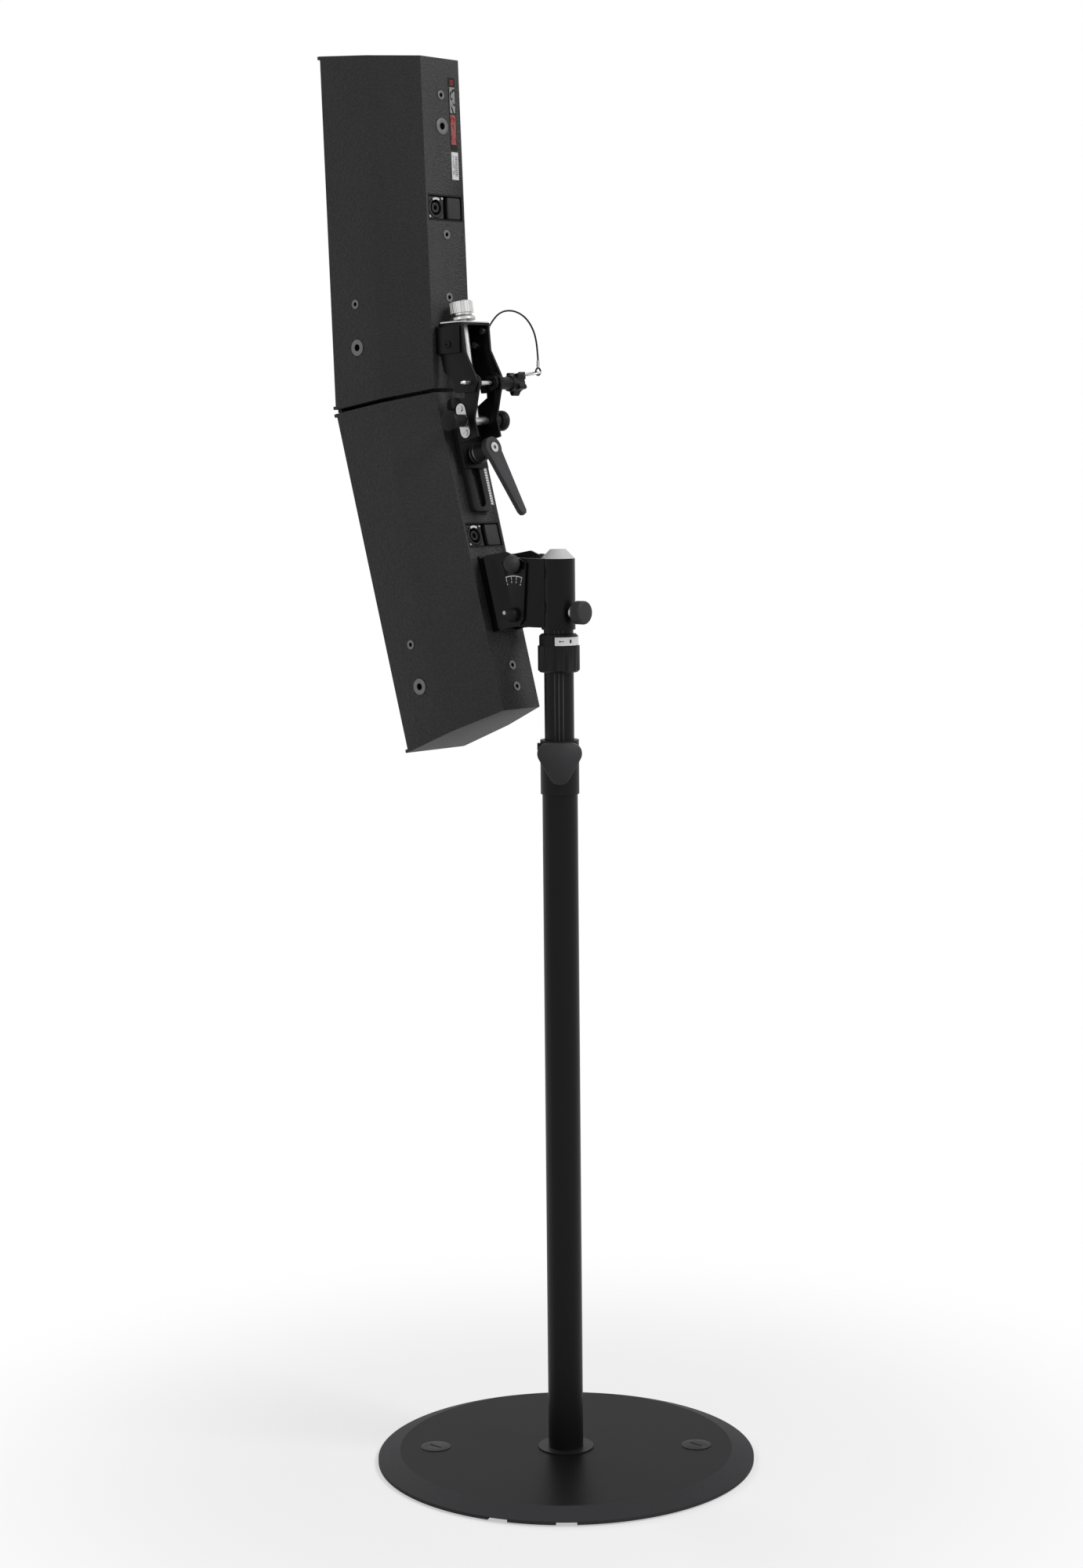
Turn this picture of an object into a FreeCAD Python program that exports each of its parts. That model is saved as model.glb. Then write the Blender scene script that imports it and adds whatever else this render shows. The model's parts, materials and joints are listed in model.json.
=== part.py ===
"""A two-cabinet column loudspeaker on a weighted pole stand, in millimetres.

Frame: the origin is the centre of the stand's underside, on the pole axis. +Z is up, the
grilles face -Y and the clamp side faces +X. Each cabinet has its own frame: x across, y out of
its back face and z along its length, with the origin in the middle of the back face.
"""
import FreeCAD, Part
import Sketcher
import math
import os
import re

SIZES = {
    # stand
    "base_radius": 227.5, "base_top_radius": 201, "rim_height": 4, "plate_height": 13,
    "pad_height": 2, "pad_radius": 211, "notch_depth": 12, "notch_width": 24,
    "notch_angle": 20.7, "notch_pitch": 20.4, "plug_radius": 18, "plug_reach": 158,
    "plug_angle": 131, "plug_depth": 4, "flange_radius": 33.5, "flange_height": 1.2,
    "bolt_radius": 6, "bolt_head_radius": 10, "bolt_head_height": 7, "foot_height": 30,
    # pole
    "tube_radius": 21, "tube_wall": 2.2, "tube_length": 843, "sleeve_wall": 1.9,
    "sleeve_length": 64, "sleeve_lap": 46, "clamp_angle": 41, "clamp_drop": 21,
    "clamp_boss_radius": 9, "clamp_boss_reach": 30, "stud_radius": 4, "knob_lobe": 12,
    "knob_spread": 16.5, "knob_reach": 52, "knob_dome": 44, "bush_length": 68,
    "inner_radius": 17.5, "inner_wall": 2, "inner_length": 680, "extension": 80,
    "end_bush_length": 20, "groove_radius": 0.8, "groove_pitch": 17,
    # twist collar
    "collar_radius": 24.7, "collar_neck_radius": 23, "collar_grip_height": 31,
    "collar_height": 45, "collar_gap": 5, "collar_bevel": 2.5, "flute_radius": 1,
    # pole bracket
    "socket_radius": 20, "socket_height": 83, "cap_height": 11, "cap_top_radius": 9.2,
    "arm_inner": 16.2, "arm_thickness": 4, "arm_reach": 62, "pivot_rise": 16.8,
    "pivot_reach": 48.5, "pivot_radius": 5, "knob_spacing": 60,
    "pivot_dome": 8.3, "tilt_dome": 10.3, "thumb_radius": 13.8, "thumb_length": 13,
    "thumb_rise": 20.5, "thumb_collar": 7.8, "thumb_gap": 9,
    # cabinets
    "front_width": 102, "rear_width": 65.5, "straight_depth": 78, "taper_depth": 72,
    "front_height": 424.5, "end_bevel": 6.6, "wall": 9, "lip_reach": 4, "lip_height": 4,
    "baffle_recess": 5, "grille_bulge": 4.5, "grille_thickness": 1.5, "grille_gap": 0.4,
    "woofer_radius": 38.5, "cone_radius": 33, "magnet_radius": 26, "woofer_depth": 26,
    "magnet_depth": 16, "woofer_pitch": 79.5, "woofer_start": 76, "horn_width": 76,
    "horn_height": 70, "horn_depth": 32, "driver_radius": 24, "driver_depth": 26,
    "panel_width": 60, "panel_height": 31.6, "panel_rise": 18.8, "panel_depth": 22,
    "panel_wall": 2, "outlet_radius": 12, "outlet_shift": 15, "small_insert": 5.6,
    "big_insert": 9.8, "insert_flange": 0.8, "insert_lip": 1.6, "small_thread": 2.5,
    "big_thread": 4.25, "insert_depth": 8, "side_insert_depth": 42,
    # tilt yoke on the lower cabinet
    "pivot_standoff": 41, "pivot_drop": 88.7, "lower_tilt": 15.5, "tilt_range": 12,
    "yoke_wall": 3, "cheek_gap": 0.3, "cheek_start": 12,
    # slide rail and link on the lower cabinet
    "rail_half": 15.5, "rail_depth": 8, "rail_plate": 3.8, "rail_low": 46, "rail_high": 186,
    "rail_end": 5, "slot_half": 7, "channel_half": 11.5, "link_half": 21, "link_wall": 3,
    "link_low": 98, "lever_rise": 114, "plunger_rise": 152.3, "plunger_out": 25,
    "pin_out": 49.5, "pin_rise": 191.6, "pin_radius": 3, "pin_clearance": 1.5,
    "hub_radius": 12.5, "hub_height": 25, "lever_length": 93, "lever_lean": 17,
    "lever_thickness": 6, "lever_root": 13.2, "lever_shoulder": 12.6, "lever_tip": 5.4, "plunger_head": 12.3,
    "plunger_nose": 12.5, "plunger_radius": 4, "barrel_radius": 7.5, "barrel_length": 16, "bush_radius": 5.6,
    # upper cabinet bracket
    "joint_gap": 4, "hinge_radius": 3.2, "hinge_back": 4, "hinge_end": 3,
    "bracket_top": 119.5, "hanger_height": 32, "hanger_depth": 38,
    "rod_radius": 5, "rod_out": 21.5, "nut_radius": 13.9, "nut_height": 14,
    "nut_base_radius": 14.8, "nut_base_height": 8.5, "washer_thickness": 1.5,
    # small clearances
    "run_fit": 0.05, "body_gap": 0.3,
    # release pin and its cord
    "pin_tip": 38, "star_high": 15.2, "star_low": 9.8, "star_lobes": 5, "star_turn": 50,
    "tab_rise": 9.6, "ring_radius": 13.5, "ring_wire": 1.1, "ring_tilt": 9, "cord_radius": 1.1,
    "crimp_radius": 1.9, "crimp_length": 8, "eye_radius": 4.2,
}

doc = FreeCAD.newDocument("column_speaker")
sheet = doc.addObject("Spreadsheet::Sheet", "dims")
for row, (alias, value) in enumerate(SIZES.items(), start=1):
    sheet.set("A%d" % row, alias)
    sheet.set("B%d" % row, str(value))
    sheet.setAlias("B%d" % row, alias)
doc.recompute()


def size(alias):
    """A driving dimension, read from the sheet."""
    return float(sheet.get(alias))


def bound(expression):
    """The expression with each alias pointed at the sheet."""
    def point(match):
        word = match.group(0)
        return "dims." + word if word in SIZES else word
    return re.sub(r"[a-z_]+", point, str(expression))


def bind(thing, path, expression):
    thing.setExpression(path, bound(expression))


def unique(name):
    """A document name that is still free, from a piece's name."""
    count = sum(1 for thing in doc.Objects if re.fullmatch(name + r"_\d+", thing.Name))
    return "%s_%d" % (name, count + 1)


# ---------------------------------------------------------------- solids from expressions

AXES = {"X": (FreeCAD.Rotation(FreeCAD.Vector(0, 1, 0), 90), "x", ("y", "z")),
        "Y": (FreeCAD.Rotation(FreeCAD.Vector(1, 0, 0), -90), "y", ("x", "z")),
        "Z": (FreeCAD.Rotation(), "z", ("x", "y"))}


def place(thing, axis, centre, start):
    """Stand a turned primitive on an axis, at a centre, from a start along that axis."""
    turn, along, across = AXES[axis]
    thing.Placement = FreeCAD.Placement(FreeCAD.Vector(), turn)
    bind(thing, "Placement.Base." + along, start)
    bind(thing, "Placement.Base." + across[0], centre[0])
    bind(thing, "Placement.Base." + across[1], centre[1])
    return thing


def slab(x, y, z, name="slab"):
    """A box between two stated faces along each axis."""
    box = doc.addObject("Part::Box", unique(name))
    for side, (low, high), edge in (("x", x, "Length"), ("y", y, "Width"), ("z", z, "Height")):
        bind(box, edge, "(%s) - (%s)" % (high, low))
        bind(box, "Placement.Base." + side, low)
    return box


def bar(axis, centre, span, radius, name="bar"):
    """A round bar along an axis between two stations."""
    cylinder = doc.addObject("Part::Cylinder", unique(name))
    bind(cylinder, "Radius", radius)
    bind(cylinder, "Height", "(%s) - (%s)" % (span[1], span[0]))
    return place(cylinder, axis, centre, span[0])


def taper(axis, centre, span, radii, name="taper"):
    """A cone frustum along an axis between two stations."""
    cone = doc.addObject("Part::Cone", unique(name))
    bind(cone, "Radius1", radii[0])
    bind(cone, "Radius2", radii[1])
    bind(cone, "Height", "(%s) - (%s)" % (span[1], span[0]))
    return place(cone, axis, centre, span[0])


def ball(centre, radius, name="ball"):
    sphere = doc.addObject("Part::Sphere", unique(name))
    bind(sphere, "Radius", radius)
    for side, where in zip("xyz", centre):
        bind(sphere, "Placement.Base." + side, where)
    return sphere


def join(*pieces, name="join"):
    """One solid from pieces that meet."""
    fuse = doc.addObject("Part::MultiFuse", unique(name))
    fuse.Shapes = list(pieces)
    fuse.Refine = True
    return fuse


def cut(base, *tools, name="cut"):
    """The base without the tools."""
    difference = doc.addObject("Part::Cut", unique(name))
    difference.Base = base
    difference.Tool = tools[0] if len(tools) == 1 else group(*tools)
    difference.Refine = True
    return difference


def group(*pieces, name="group"):
    """Loose pieces kept together as separate solids."""
    compound = doc.addObject("Part::Compound", unique(name))
    compound.Links = list(pieces)
    return compound


def overlap(first, second, name="common"):
    common = doc.addObject("Part::Common", unique(name))
    common.Base = first
    common.Tool = second
    return common


def ring(axis, centre, span, outer, inner, name="ring"):
    """A round tube along an axis."""
    return cut(bar(axis, centre, span, outer), bar(axis, centre, span, inner), name=name)


def moved(piece, placement, name="moved"):
    """A piece carried to another place."""
    carrier = group(piece, name=name)
    carrier.Placement = placement
    return carrier


def mirrored(piece, name="mirror"):
    """The piece's mirror image across the plane x = 0."""
    mirror = doc.addObject("Part::Mirroring", unique(name))
    mirror.Source = piece
    mirror.Normal = FreeCAD.Vector(1, 0, 0)
    return mirror


PLANES = {"X": ("YZ_Plane", 1), "Y": ("XZ_Plane", -1), "Z": ("XY_Plane", 1)}


def prism(axis, outline, span, corner=None, name="prism"):
    """A padded sketch: an outline of expression pairs, carried along an axis over a span."""
    role, sense = PLANES[axis]
    body = doc.addObject("PartDesign::Body", unique(name))
    sketch = body.newObject("Sketcher::SketchObject", unique(name + "_sketch"))
    plane = next(item for item in body.Origin.OriginFeatures if item.Role == role)
    sketch.AttachmentSupport = (plane, [""])
    sketch.MapMode = "FlatFace"
    start = span[0] if sense > 0 else "-(%s)" % span[1]
    bind(sketch, "AttachmentOffset.Base.z", start)
    count = len(outline)
    for index in range(count):
        here = 2 * math.pi * index / count
        there = 2 * math.pi * (index + 1) / count
        sketch.addGeometry(Part.LineSegment(
            FreeCAD.Vector(10 * math.cos(here), 10 * math.sin(here), 0),
            FreeCAD.Vector(10 * math.cos(there), 10 * math.sin(there), 0)))
    for index in range(count):
        sketch.addConstraint(Sketcher.Constraint("Coincident", index, 2, (index + 1) % count, 1))
    for index, (across, up) in enumerate(outline):
        for kind, expression in (("DistanceX", across), ("DistanceY", up)):
            number = sketch.addConstraint(Sketcher.Constraint(kind, -1, 1, index, 1, 1.0))
            bind(sketch, "Constraints[%d]" % number, expression)
    pad = body.newObject("PartDesign::Pad", unique(name + "_pad"))
    pad.Profile = sketch
    bind(pad, "Length", "(%s) - (%s)" % (span[1], span[0]))
    sketch.Visibility = False
    body.Tip = pad
    if corner is not None:
        doc.recompute()
        along = {"X": 0, "Y": 1, "Z": 2}[axis]
        edges = []
        for number, edge in enumerate(pad.Shape.Edges, start=1):
            run = edge.Vertexes[-1].Point - edge.Vertexes[0].Point
            if abs(abs(run[along]) - run.Length) < 1e-6:
                edges.append("Edge%d" % number)
        fillet = body.newObject("PartDesign::Fillet", unique(name + "_fillet"))
        fillet.Base = (pad, edges)
        bind(fillet, "Radius", corner)
        body.Tip = fillet
    return body


# ---------------------------------------------------------------- frames and the node list

def turn(axis, degrees):
    return FreeCAD.Rotation(FreeCAD.Vector(*axis), degrees)


WORLD = FreeCAD.Placement()
NODES = []


def node(name, frame, *pieces):
    """A finished sub-part: its pieces as separate solids, labelled and set in its frame."""
    piece = group(*pieces, name="node_" + name)
    piece.Label = name
    piece.Placement = frame
    NODES.append(piece)
    return piece


def frames():
    """Where the moving groups stand: each frame is worked out from the one that carries it."""
    place_at = {}
    sleeve_top = (size("pad_height") + size("plate_height") + size("tube_length")
                  + size("sleeve_length") - size("sleeve_lap"))
    socket_foot = sleeve_top + size("extension") + size("collar_height") + size("collar_gap")
    pivot = FreeCAD.Vector(0, -size("pivot_reach"), socket_foot + size("pivot_rise"))
    tilt = turn((1, 0, 0), size("lower_tilt"))
    lower = FreeCAD.Placement(
        pivot - tilt.multVec(FreeCAD.Vector(0, size("pivot_standoff"), -size("pivot_drop"))), tilt)
    depth = size("straight_depth") + size("taper_depth") - size("hinge_back")
    hinge_rise = size("front_height") / 2 + size("joint_gap") / 2
    hinge = lower.multVec(FreeCAD.Vector(0, -depth, hinge_rise))
    upper_tilt = turn((1, 0, 0), size("lower_tilt") - 2 * size("end_bevel"))
    upper = FreeCAD.Placement(
        hinge - upper_tilt.multVec(FreeCAD.Vector(0, -depth, -hinge_rise)), upper_tilt)
    pin = lower.multVec(FreeCAD.Vector(0, size("pin_out"), size("pin_rise")))
    eye = lower.multVec(FreeCAD.Vector(0, size("plunger_out"), size("plunger_rise")))
    seat = upper.multVec(FreeCAD.Vector(0, size("rod_out"), -size("bracket_top")))
    run = seat - eye
    lean = math.degrees(math.atan2(-run.y, run.z))
    place_at["pole"] = FreeCAD.Placement(FreeCAD.Vector(0, 0, sleeve_top), FreeCAD.Rotation())
    place_at["socket"] = FreeCAD.Placement(FreeCAD.Vector(0, 0, socket_foot), FreeCAD.Rotation())
    place_at["clamp"] = FreeCAD.Placement(
        FreeCAD.Vector(0, 0, sleeve_top - size("clamp_drop")),
        turn((0, 0, 1), size("clamp_angle")))
    place_at["pivot"] = FreeCAD.Placement(pivot, FreeCAD.Rotation())
    place_at["lower"] = lower
    place_at["upper"] = upper
    place_at["pin"] = FreeCAD.Placement(pin, upper_tilt)
    place_at["rod"] = FreeCAD.Placement(eye, turn((1, 0, 0), lean))
    place_at["seat_rise"] = run.Length
    place_at["nut_lift"] = size("nut_base_radius") * math.tan(
        math.radians(lean - size("lower_tilt") + 2 * size("end_bevel")))
    place_at["hinge"] = FreeCAD.Placement(hinge, tilt)
    return place_at


AT = frames()

# ---------------------------------------------------------------- stand

TOP = "(pad_height + plate_height)"
SLEEVE_TOP = "(pad_height + plate_height + tube_length + sleeve_length - sleeve_lap)"
RIM = "(pad_height + rim_height)"


def around(radius, degrees):
    """A point on a circle about the pole, as a pair of expressions."""
    return ("(%s) * cos(%s)" % (radius, degrees), "(%s) * sin(%s)" % (radius, degrees))


def stand_base():
    """The cast base with its pad and plugs, and the plug and bolt that hold the tube to it."""
    disc = bar("Z", ("0", "0"), ("pad_height", RIM), "base_radius")
    slope = taper("Z", ("0", "0"), (RIM, TOP), ("base_radius", "base_top_radius"))
    notches = []
    for step in (0, 1):
        notch = slab(("base_radius - notch_depth", "base_radius + 5"),
                     ("-notch_width / 2", "notch_width / 2"),
                     ("pad_height - 1", RIM + " - 1"))
        angle = size("notch_angle") + step * size("notch_pitch")
        notches.append(moved(notch, FreeCAD.Placement(FreeCAD.Vector(), turn((0, 0, 1), angle))))
    pockets = [bar("Z", around("plug_reach", angle),
                   ("pad_height + plate_height - plug_depth", TOP + " + 1"),
                   "plug_radius + run_fit") for angle in ("plug_angle", "(plug_angle + 180)")]
    bore = bar("Z", ("0", "0"), ("0", TOP + " + 1"), "bolt_radius + 0.5")
    recess = bar("Z", ("0", "0"), ("0", "pad_height + bolt_head_height + 0.5"),
                 "bolt_head_radius + 1")
    node("base_plate", WORLD, cut(join(disc, slope), bore, recess, *notches, *pockets))
    node("base_pad", WORLD, bar("Z", ("0", "0"), ("0", "pad_height"), "pad_radius"))
    plugs = []
    for angle in ("plug_angle", "(plug_angle + 180)"):
        plug = bar("Z", around("plug_reach", angle),
                   ("pad_height + plate_height - plug_depth", TOP + " + 0.6"), "plug_radius")
        x, y = around("plug_reach", angle)
        slot = slab((x + " - 1", x + " + 1"), (y + " - plug_radius / 2", y + " + plug_radius / 2"),
                    (TOP + " - 1", TOP + " + 2"))
        plugs.append(cut(plug, slot))
    node("base_plugs", WORLD, *plugs)
    node("pole_flange", WORLD, ring("Z", ("0", "0"), (TOP, TOP + " + flange_height"),
                                    "flange_radius", "tube_radius"))
    head = bar("Z", ("0", "0"), ("pad_height + 0.5", "pad_height + 0.5 + bolt_head_height"),
               "bolt_head_radius")
    shank = bar("Z", ("0", "0"), ("pad_height + bolt_head_height", TOP + " + foot_height - 4"),
                "bolt_radius")
    plug = ring("Z", ("0", "0"), (TOP, TOP + " + foot_height"),
                "tube_radius - tube_wall", "bolt_radius")
    node("pole_foot", WORLD, plug, join(head, shank))


def stand_tube():
    """The lower tube with the clamp sleeve and the guide bush in its mouth."""
    tube = ring("Z", ("0", "0"), (TOP, TOP + " + tube_length"),
                "tube_radius", "tube_radius - tube_wall")
    stud_hole = bar("X", ("0", "0"), ("0", "clamp_boss_reach"), "stud_radius + 1")
    stud_way = moved(stud_hole, AT["clamp"])
    node("lower_tube", WORLD, cut(tube, stud_way))
    sleeve = ring("Z", ("0", "0"), (SLEEVE_TOP + " - sleeve_length",
                                    SLEEVE_TOP + " - sleeve_length + sleeve_lap"),
                  "tube_radius + sleeve_wall", "tube_radius")
    lip = ring("Z", ("0", "0"), (SLEEVE_TOP + " - sleeve_length + sleeve_lap", SLEEVE_TOP),
               "tube_radius + sleeve_wall", "inner_radius + 6 * run_fit")
    boss = bar("X", ("0", "0"), ("tube_radius - 0.5", "clamp_boss_reach"), "clamp_boss_radius")
    boss_ring = cut(moved(boss, AT["clamp"]),
                    bar("Z", ("0", "0"), ("0", SLEEVE_TOP), "tube_radius"))
    ear = slab(("-4", "4"), ("-tube_radius - sleeve_wall - 3.5", "-tube_radius"), ("9", "17"))
    thread = moved(bar("X", ("0", "0"), ("0", "clamp_boss_reach + 1"), "stud_radius + run_fit"),
                   AT["clamp"])
    ear_at = moved(ear, AT["clamp"])
    core = bar("Z", ("0", "0"), ("0", SLEEVE_TOP + " - sleeve_length + sleeve_lap"),
               "tube_radius")
    node("clamp_sleeve", WORLD, cut(join(sleeve, lip, boss_ring, cut(ear_at, core)), thread))
    bush = ring("Z", ("0", "0"), (TOP + " + tube_length - bush_length", TOP + " + tube_length"),
                "tube_radius - tube_wall", "inner_radius + run_fit")
    node("clamp_bush", WORLD, cut(bush, moved(bar("X", ("0", "0"), ("0", "clamp_boss_reach"),
                                                  "stud_radius + 1"), AT["clamp"])))


def clamp_knob():
    """The three-lobed height clamp with its moulded-in stud, turning about the frame's X."""
    lobes, hull = [], []
    spread, lobe = "knob_spread", "knob_lobe"
    for angle in (30, 150, 270):
        lobes.append(bar("X", around(spread, angle),
                         ("clamp_boss_reach + 1", "knob_reach"), lobe))
        for side in (-60, 60):
            across, up = around(spread, angle)
            more_across, more_up = around(lobe, angle + side)
            hull.append(("%s + %s" % (across, more_across), "%s + %s" % (up, more_up)))
    core = prism("X", hull, ("clamp_boss_reach + 1", "knob_reach"))
    dome = ball(("knob_reach - knob_dome", "0", "0"), "knob_dome")
    hole = bar("X", ("0", "0"), ("clamp_boss_reach", "clamp_boss_reach + 9"), "stud_radius")
    knob = cut(overlap(join(core, *lobes), dome), hole)
    stud = bar("X", ("0", "0"), ("inner_radius + body_gap", "clamp_boss_reach + 9"),
               "stud_radius")
    node("clamp_knob", AT["clamp"], knob, stud)


def upper_pole():
    """The grooved inner tube and its end bush; the frame is the sleeve's top."""
    low = "extension + collar_height + collar_gap + socket_height - 5 - inner_length"
    high = "extension + collar_height + collar_gap + socket_height - 5"
    tube = ring("Z", ("0", "0"), (low, high), "inner_radius", "inner_radius - inner_wall")
    grooves = []
    for side in (0, 180):
        for step in (-1, 0, 1):
            angle = "(clamp_angle + %d + %d * groove_pitch)" % (side, step)
            grooves.append(bar("Z", around("(inner_radius + 0.2)", angle),
                               (low + " + 30", high), "groove_radius"))
    node("upper_tube", AT["pole"], cut(tube, *grooves))
    bush = ring("Z", ("0", "0"), (low, low + " + end_bush_length"),
                "tube_radius - tube_wall - run_fit", "inner_radius")
    node("end_bush", AT["pole"], bush)


def lock_collar():
    """The fluted twist collar that locks the bracket on the tube."""
    grip_top = "extension + collar_grip_height"
    top = "extension + collar_height"
    grip = join(taper("Z", ("0", "0"), ("extension", "extension + collar_bevel"),
                      ("collar_radius - collar_bevel", "collar_radius")),
                bar("Z", ("0", "0"), ("extension + collar_bevel", grip_top), "collar_radius"),
                bar("Z", ("0", "0"), (grip_top, top + " - collar_bevel"),
                    "collar_neck_radius"),
                taper("Z", ("0", "0"), (top + " - collar_bevel", top),
                      ("collar_neck_radius", "collar_neck_radius - collar_bevel")))
    tools = [bar("Z", ("0", "0"), ("extension - 1", top + " + 1"), "inner_radius + run_fit")]
    for step in range(12):
        tools.append(bar("Z", around("(collar_radius + 0.5)", 30 * step),
                         ("extension - 1", grip_top), "flute_radius"))
    node("lock_collar", AT["pole"], cut(grip, *tools))


# ---------------------------------------------------------------- pole bracket

def bracket():
    """The socket that turns on the pole, its cap, the two welded arms and the pivot bolt."""
    tube = ring("Z", ("0", "0"), ("0", "socket_height"), "socket_radius",
                "inner_radius + run_fit")
    screw_way = bar("Y", ("0", "thumb_rise"), ("0", "socket_radius + 1"),
                    "stud_radius + run_fit")
    node("bracket_socket", AT["socket"], cut(tube, screw_way))
    shell = taper("Z", ("0", "0"), ("socket_height", "socket_height + cap_height"),
                  ("socket_radius", "cap_top_radius"))
    spigot = bar("Z", ("0", "0"), ("socket_height - 4", "socket_height + 1"),
                 "inner_radius - 1")
    node("socket_cap", AT["socket"], join(shell, spigot))
    arms = []
    for low, high in (("arm_inner", "arm_inner + arm_thickness"),
                      ("-arm_inner - arm_thickness", "-arm_inner")):
        plate = prism("X", [("-arm_reach", "2.5"), ("-4", "2.5"), ("-4", "socket_height"),
                            ("-arm_reach", "socket_height + 1")], (low, high))
        hole = bar("X", ("-pivot_reach", "pivot_rise"), (low + " - 1", high + " + 1"),
                   "pivot_radius")
        thread = bar("X", ("-pivot_reach", "pivot_rise + knob_spacing"),
                     (low + " - 1", high + " + 1"), "stud_radius + run_fit")
        weld = bar("Z", ("0", "0"), ("0", "socket_height + 2"), "socket_radius")
        arms.append(cut(plate, hole, thread, weld))
    node("bracket_arms", AT["socket"], *arms)
    outer = "(arm_inner + arm_thickness + cheek_gap + yoke_wall + cheek_gap)"
    shaft = bar("X", ("0", "0"), ("-%s - 3" % outer, outer + " + 3"), "pivot_radius")
    heads = []
    for sense in ("", "-"):
        washer_span = (outer, outer + " + 3") if not sense else ("-%s - 3" % outer, "-" + outer)
        heads.append(bar("X", ("0", "0"), washer_span, "pivot_dome"))
        heads.append(ball(("%s(%s + 3)" % (sense, outer), "0", "0"), "pivot_dome"))
    trim = slab(("-%s + 0.001" % outer, outer + " - 0.001"), ("-12", "12"), ("-12", "12"))
    node("pivot_bolt", AT["pivot"], join(shaft, cut(join(*heads), trim)))


def thumb_screw():
    """The rear thumb screw: threaded collar and stud, with the knob on its end."""
    start = "socket_radius + 2"
    end = "socket_radius + thumb_gap"
    stud = bar("Y", ("0", "thumb_rise"), ("inner_radius + body_gap", end + " + 6"),
               "stud_radius")
    collar = bar("Y", ("0", "thumb_rise"), (start, end), "thumb_collar")
    node("thumb_screw", AT["socket"], join(stud, collar))
    knob = join(bar("Y", ("0", "thumb_rise"), (end, end + " + thumb_length - 2"),
                    "thumb_radius"),
                taper("Y", ("0", "thumb_rise"),
                      (end + " + thumb_length - 2", end + " + thumb_length"),
                      ("thumb_radius", "thumb_radius - 2")))
    bore = bar("Y", ("0", "thumb_rise"), (end + " - 1", end + " + 6"), "stud_radius")
    node("thumb_knob", AT["socket"], cut(knob, bore))


def tilt_knob(name, flipped):
    """One domed tilt clamp: the stud runs through the yoke's curved slot into the arm."""
    outer = "(arm_inner + arm_thickness + cheek_gap + yoke_wall + cheek_gap)"
    stud = bar("X", ("0", "knob_spacing"), ("arm_inner - 2", outer + " + 1"), "stud_radius")
    flange = bar("X", ("0", "knob_spacing"), (outer, outer + " + 3"), "tilt_dome")
    dome = ball((outer + " + 3", "0", "knob_spacing"), "tilt_dome")
    trim = slab(("0", outer + " + 2"), ("-15", "15"), ("knob_spacing - 15", "knob_spacing + 15"))
    knob = join(stud, flange, cut(dome, trim))
    node(name, AT["pivot"], mirrored(knob) if flipped else knob)


# ---------------------------------------------------------------- cabinets

DEPTH = "(straight_depth + taper_depth)"
SLANT = "sqrt(1 + ((front_width - rear_width) / 2 / taper_depth)^2)"
INNER = "(front_width / 2 - wall)"


def plan(half_front, half_rear, front, knee, rear):
    """The six-sided plan section: parallel sides in front, narrowing to the back."""
    return [(half_front, "-(%s)" % front), (half_front, "-(%s)" % knee),
            (half_rear, "-(%s)" % rear), ("-(%s)" % half_rear, "-(%s)" % rear),
            ("-(%s)" % half_front, "-(%s)" % knee), ("-(%s)" % half_front, "-(%s)" % front)]


def profile(inset, front, rear):
    """The wedge-shaped side section, inset from the ends, between two depths."""
    def rise(depth):
        return ("(front_height / 2 - (straight_depth + taper_depth - (%s)) * tan(end_bevel)"
                " - (%s))" % (depth, inset))
    return [("-(%s)" % front, "-" + rise(front)), ("-(%s)" % rear, "-" + rise(rear)),
            ("-(%s)" % rear, rise(rear)), ("-(%s)" % front, rise(front))]


def block(half_front, half_rear, front, knee, rear, inset):
    """A closed body of the cabinet's section, inset from its ends."""
    tall = "(front_height / 2 + 10)"
    return overlap(prism("Z", plan(half_front, half_rear, front, knee, rear),
                         ("-" + tall, tall)),
                   prism("X", profile(inset, front, rear),
                         ("-front_width", "front_width")))


INSERTS = (("back", 151.4, "small"), ("back", 114.8, "big"), ("back", -12.7, "small"),
           ("back", -86.9, "small"), ("back", -141.5, "small"), ("back", -167.4, "small"),
           ("side", -88, "small"), ("side", -140, "big"))
YOKE_SCREWS = (-12.7, -86.9)
HANGER_SCREW = -141.5


def insert_pieces(shown, hidden):
    """The threaded inserts and the holes they sit in: flanged, or flush where they are hidden."""
    pieces, holes = [], []
    for wall, rise, kind in INSERTS:
        if wall == "back" and rise not in shown + hidden:
            continue
        if wall == "back":
            axis, centre, surface = "Y", ("0", rise), "0"
        else:
            axis, centre, surface = "X", ("-%s + side_insert_depth" % DEPTH, rise), "front_width / 2"
        flange, bore = kind + "_insert", kind + "_thread"
        body = "%s - insert_lip" % flange
        inner, outer = surface + " - insert_depth", surface + " + insert_flange"
        hollow = bar(axis, centre, (inner + " - 1", outer + " + 1"), bore)
        if rise in hidden:
            piece = ring(axis, centre, (inner, surface), body, bore)
        else:
            piece = cut(join(bar(axis, centre, (inner, outer), body),
                             bar(axis, centre, (surface, outer), flange)), hollow)
        hole = bar(axis, centre, (inner + " - 2", outer + " + 2"), body)
        pieces.append(piece)
        holes.append(hole)
        if wall == "side":
            pieces.append(mirrored(piece))
            holes.append(mirrored(hole))
    return pieces, holes


def woofer_rises():
    """The centres of the four cone drivers along the front."""
    for side in ("", "-"):
        for step in (0, 1):
            yield "%s(woofer_start + %d * woofer_pitch)" % (side, step)


def hinge_groove(end):
    """The half-round seat of the hinge rod along one end's front edge."""
    return bar("X", ("-%s + hinge_back" % DEPTH, "%s(front_height / 2 + joint_gap / 2)" % end),
               ("-front_width", "front_width"), "hinge_radius + run_fit")


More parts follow.
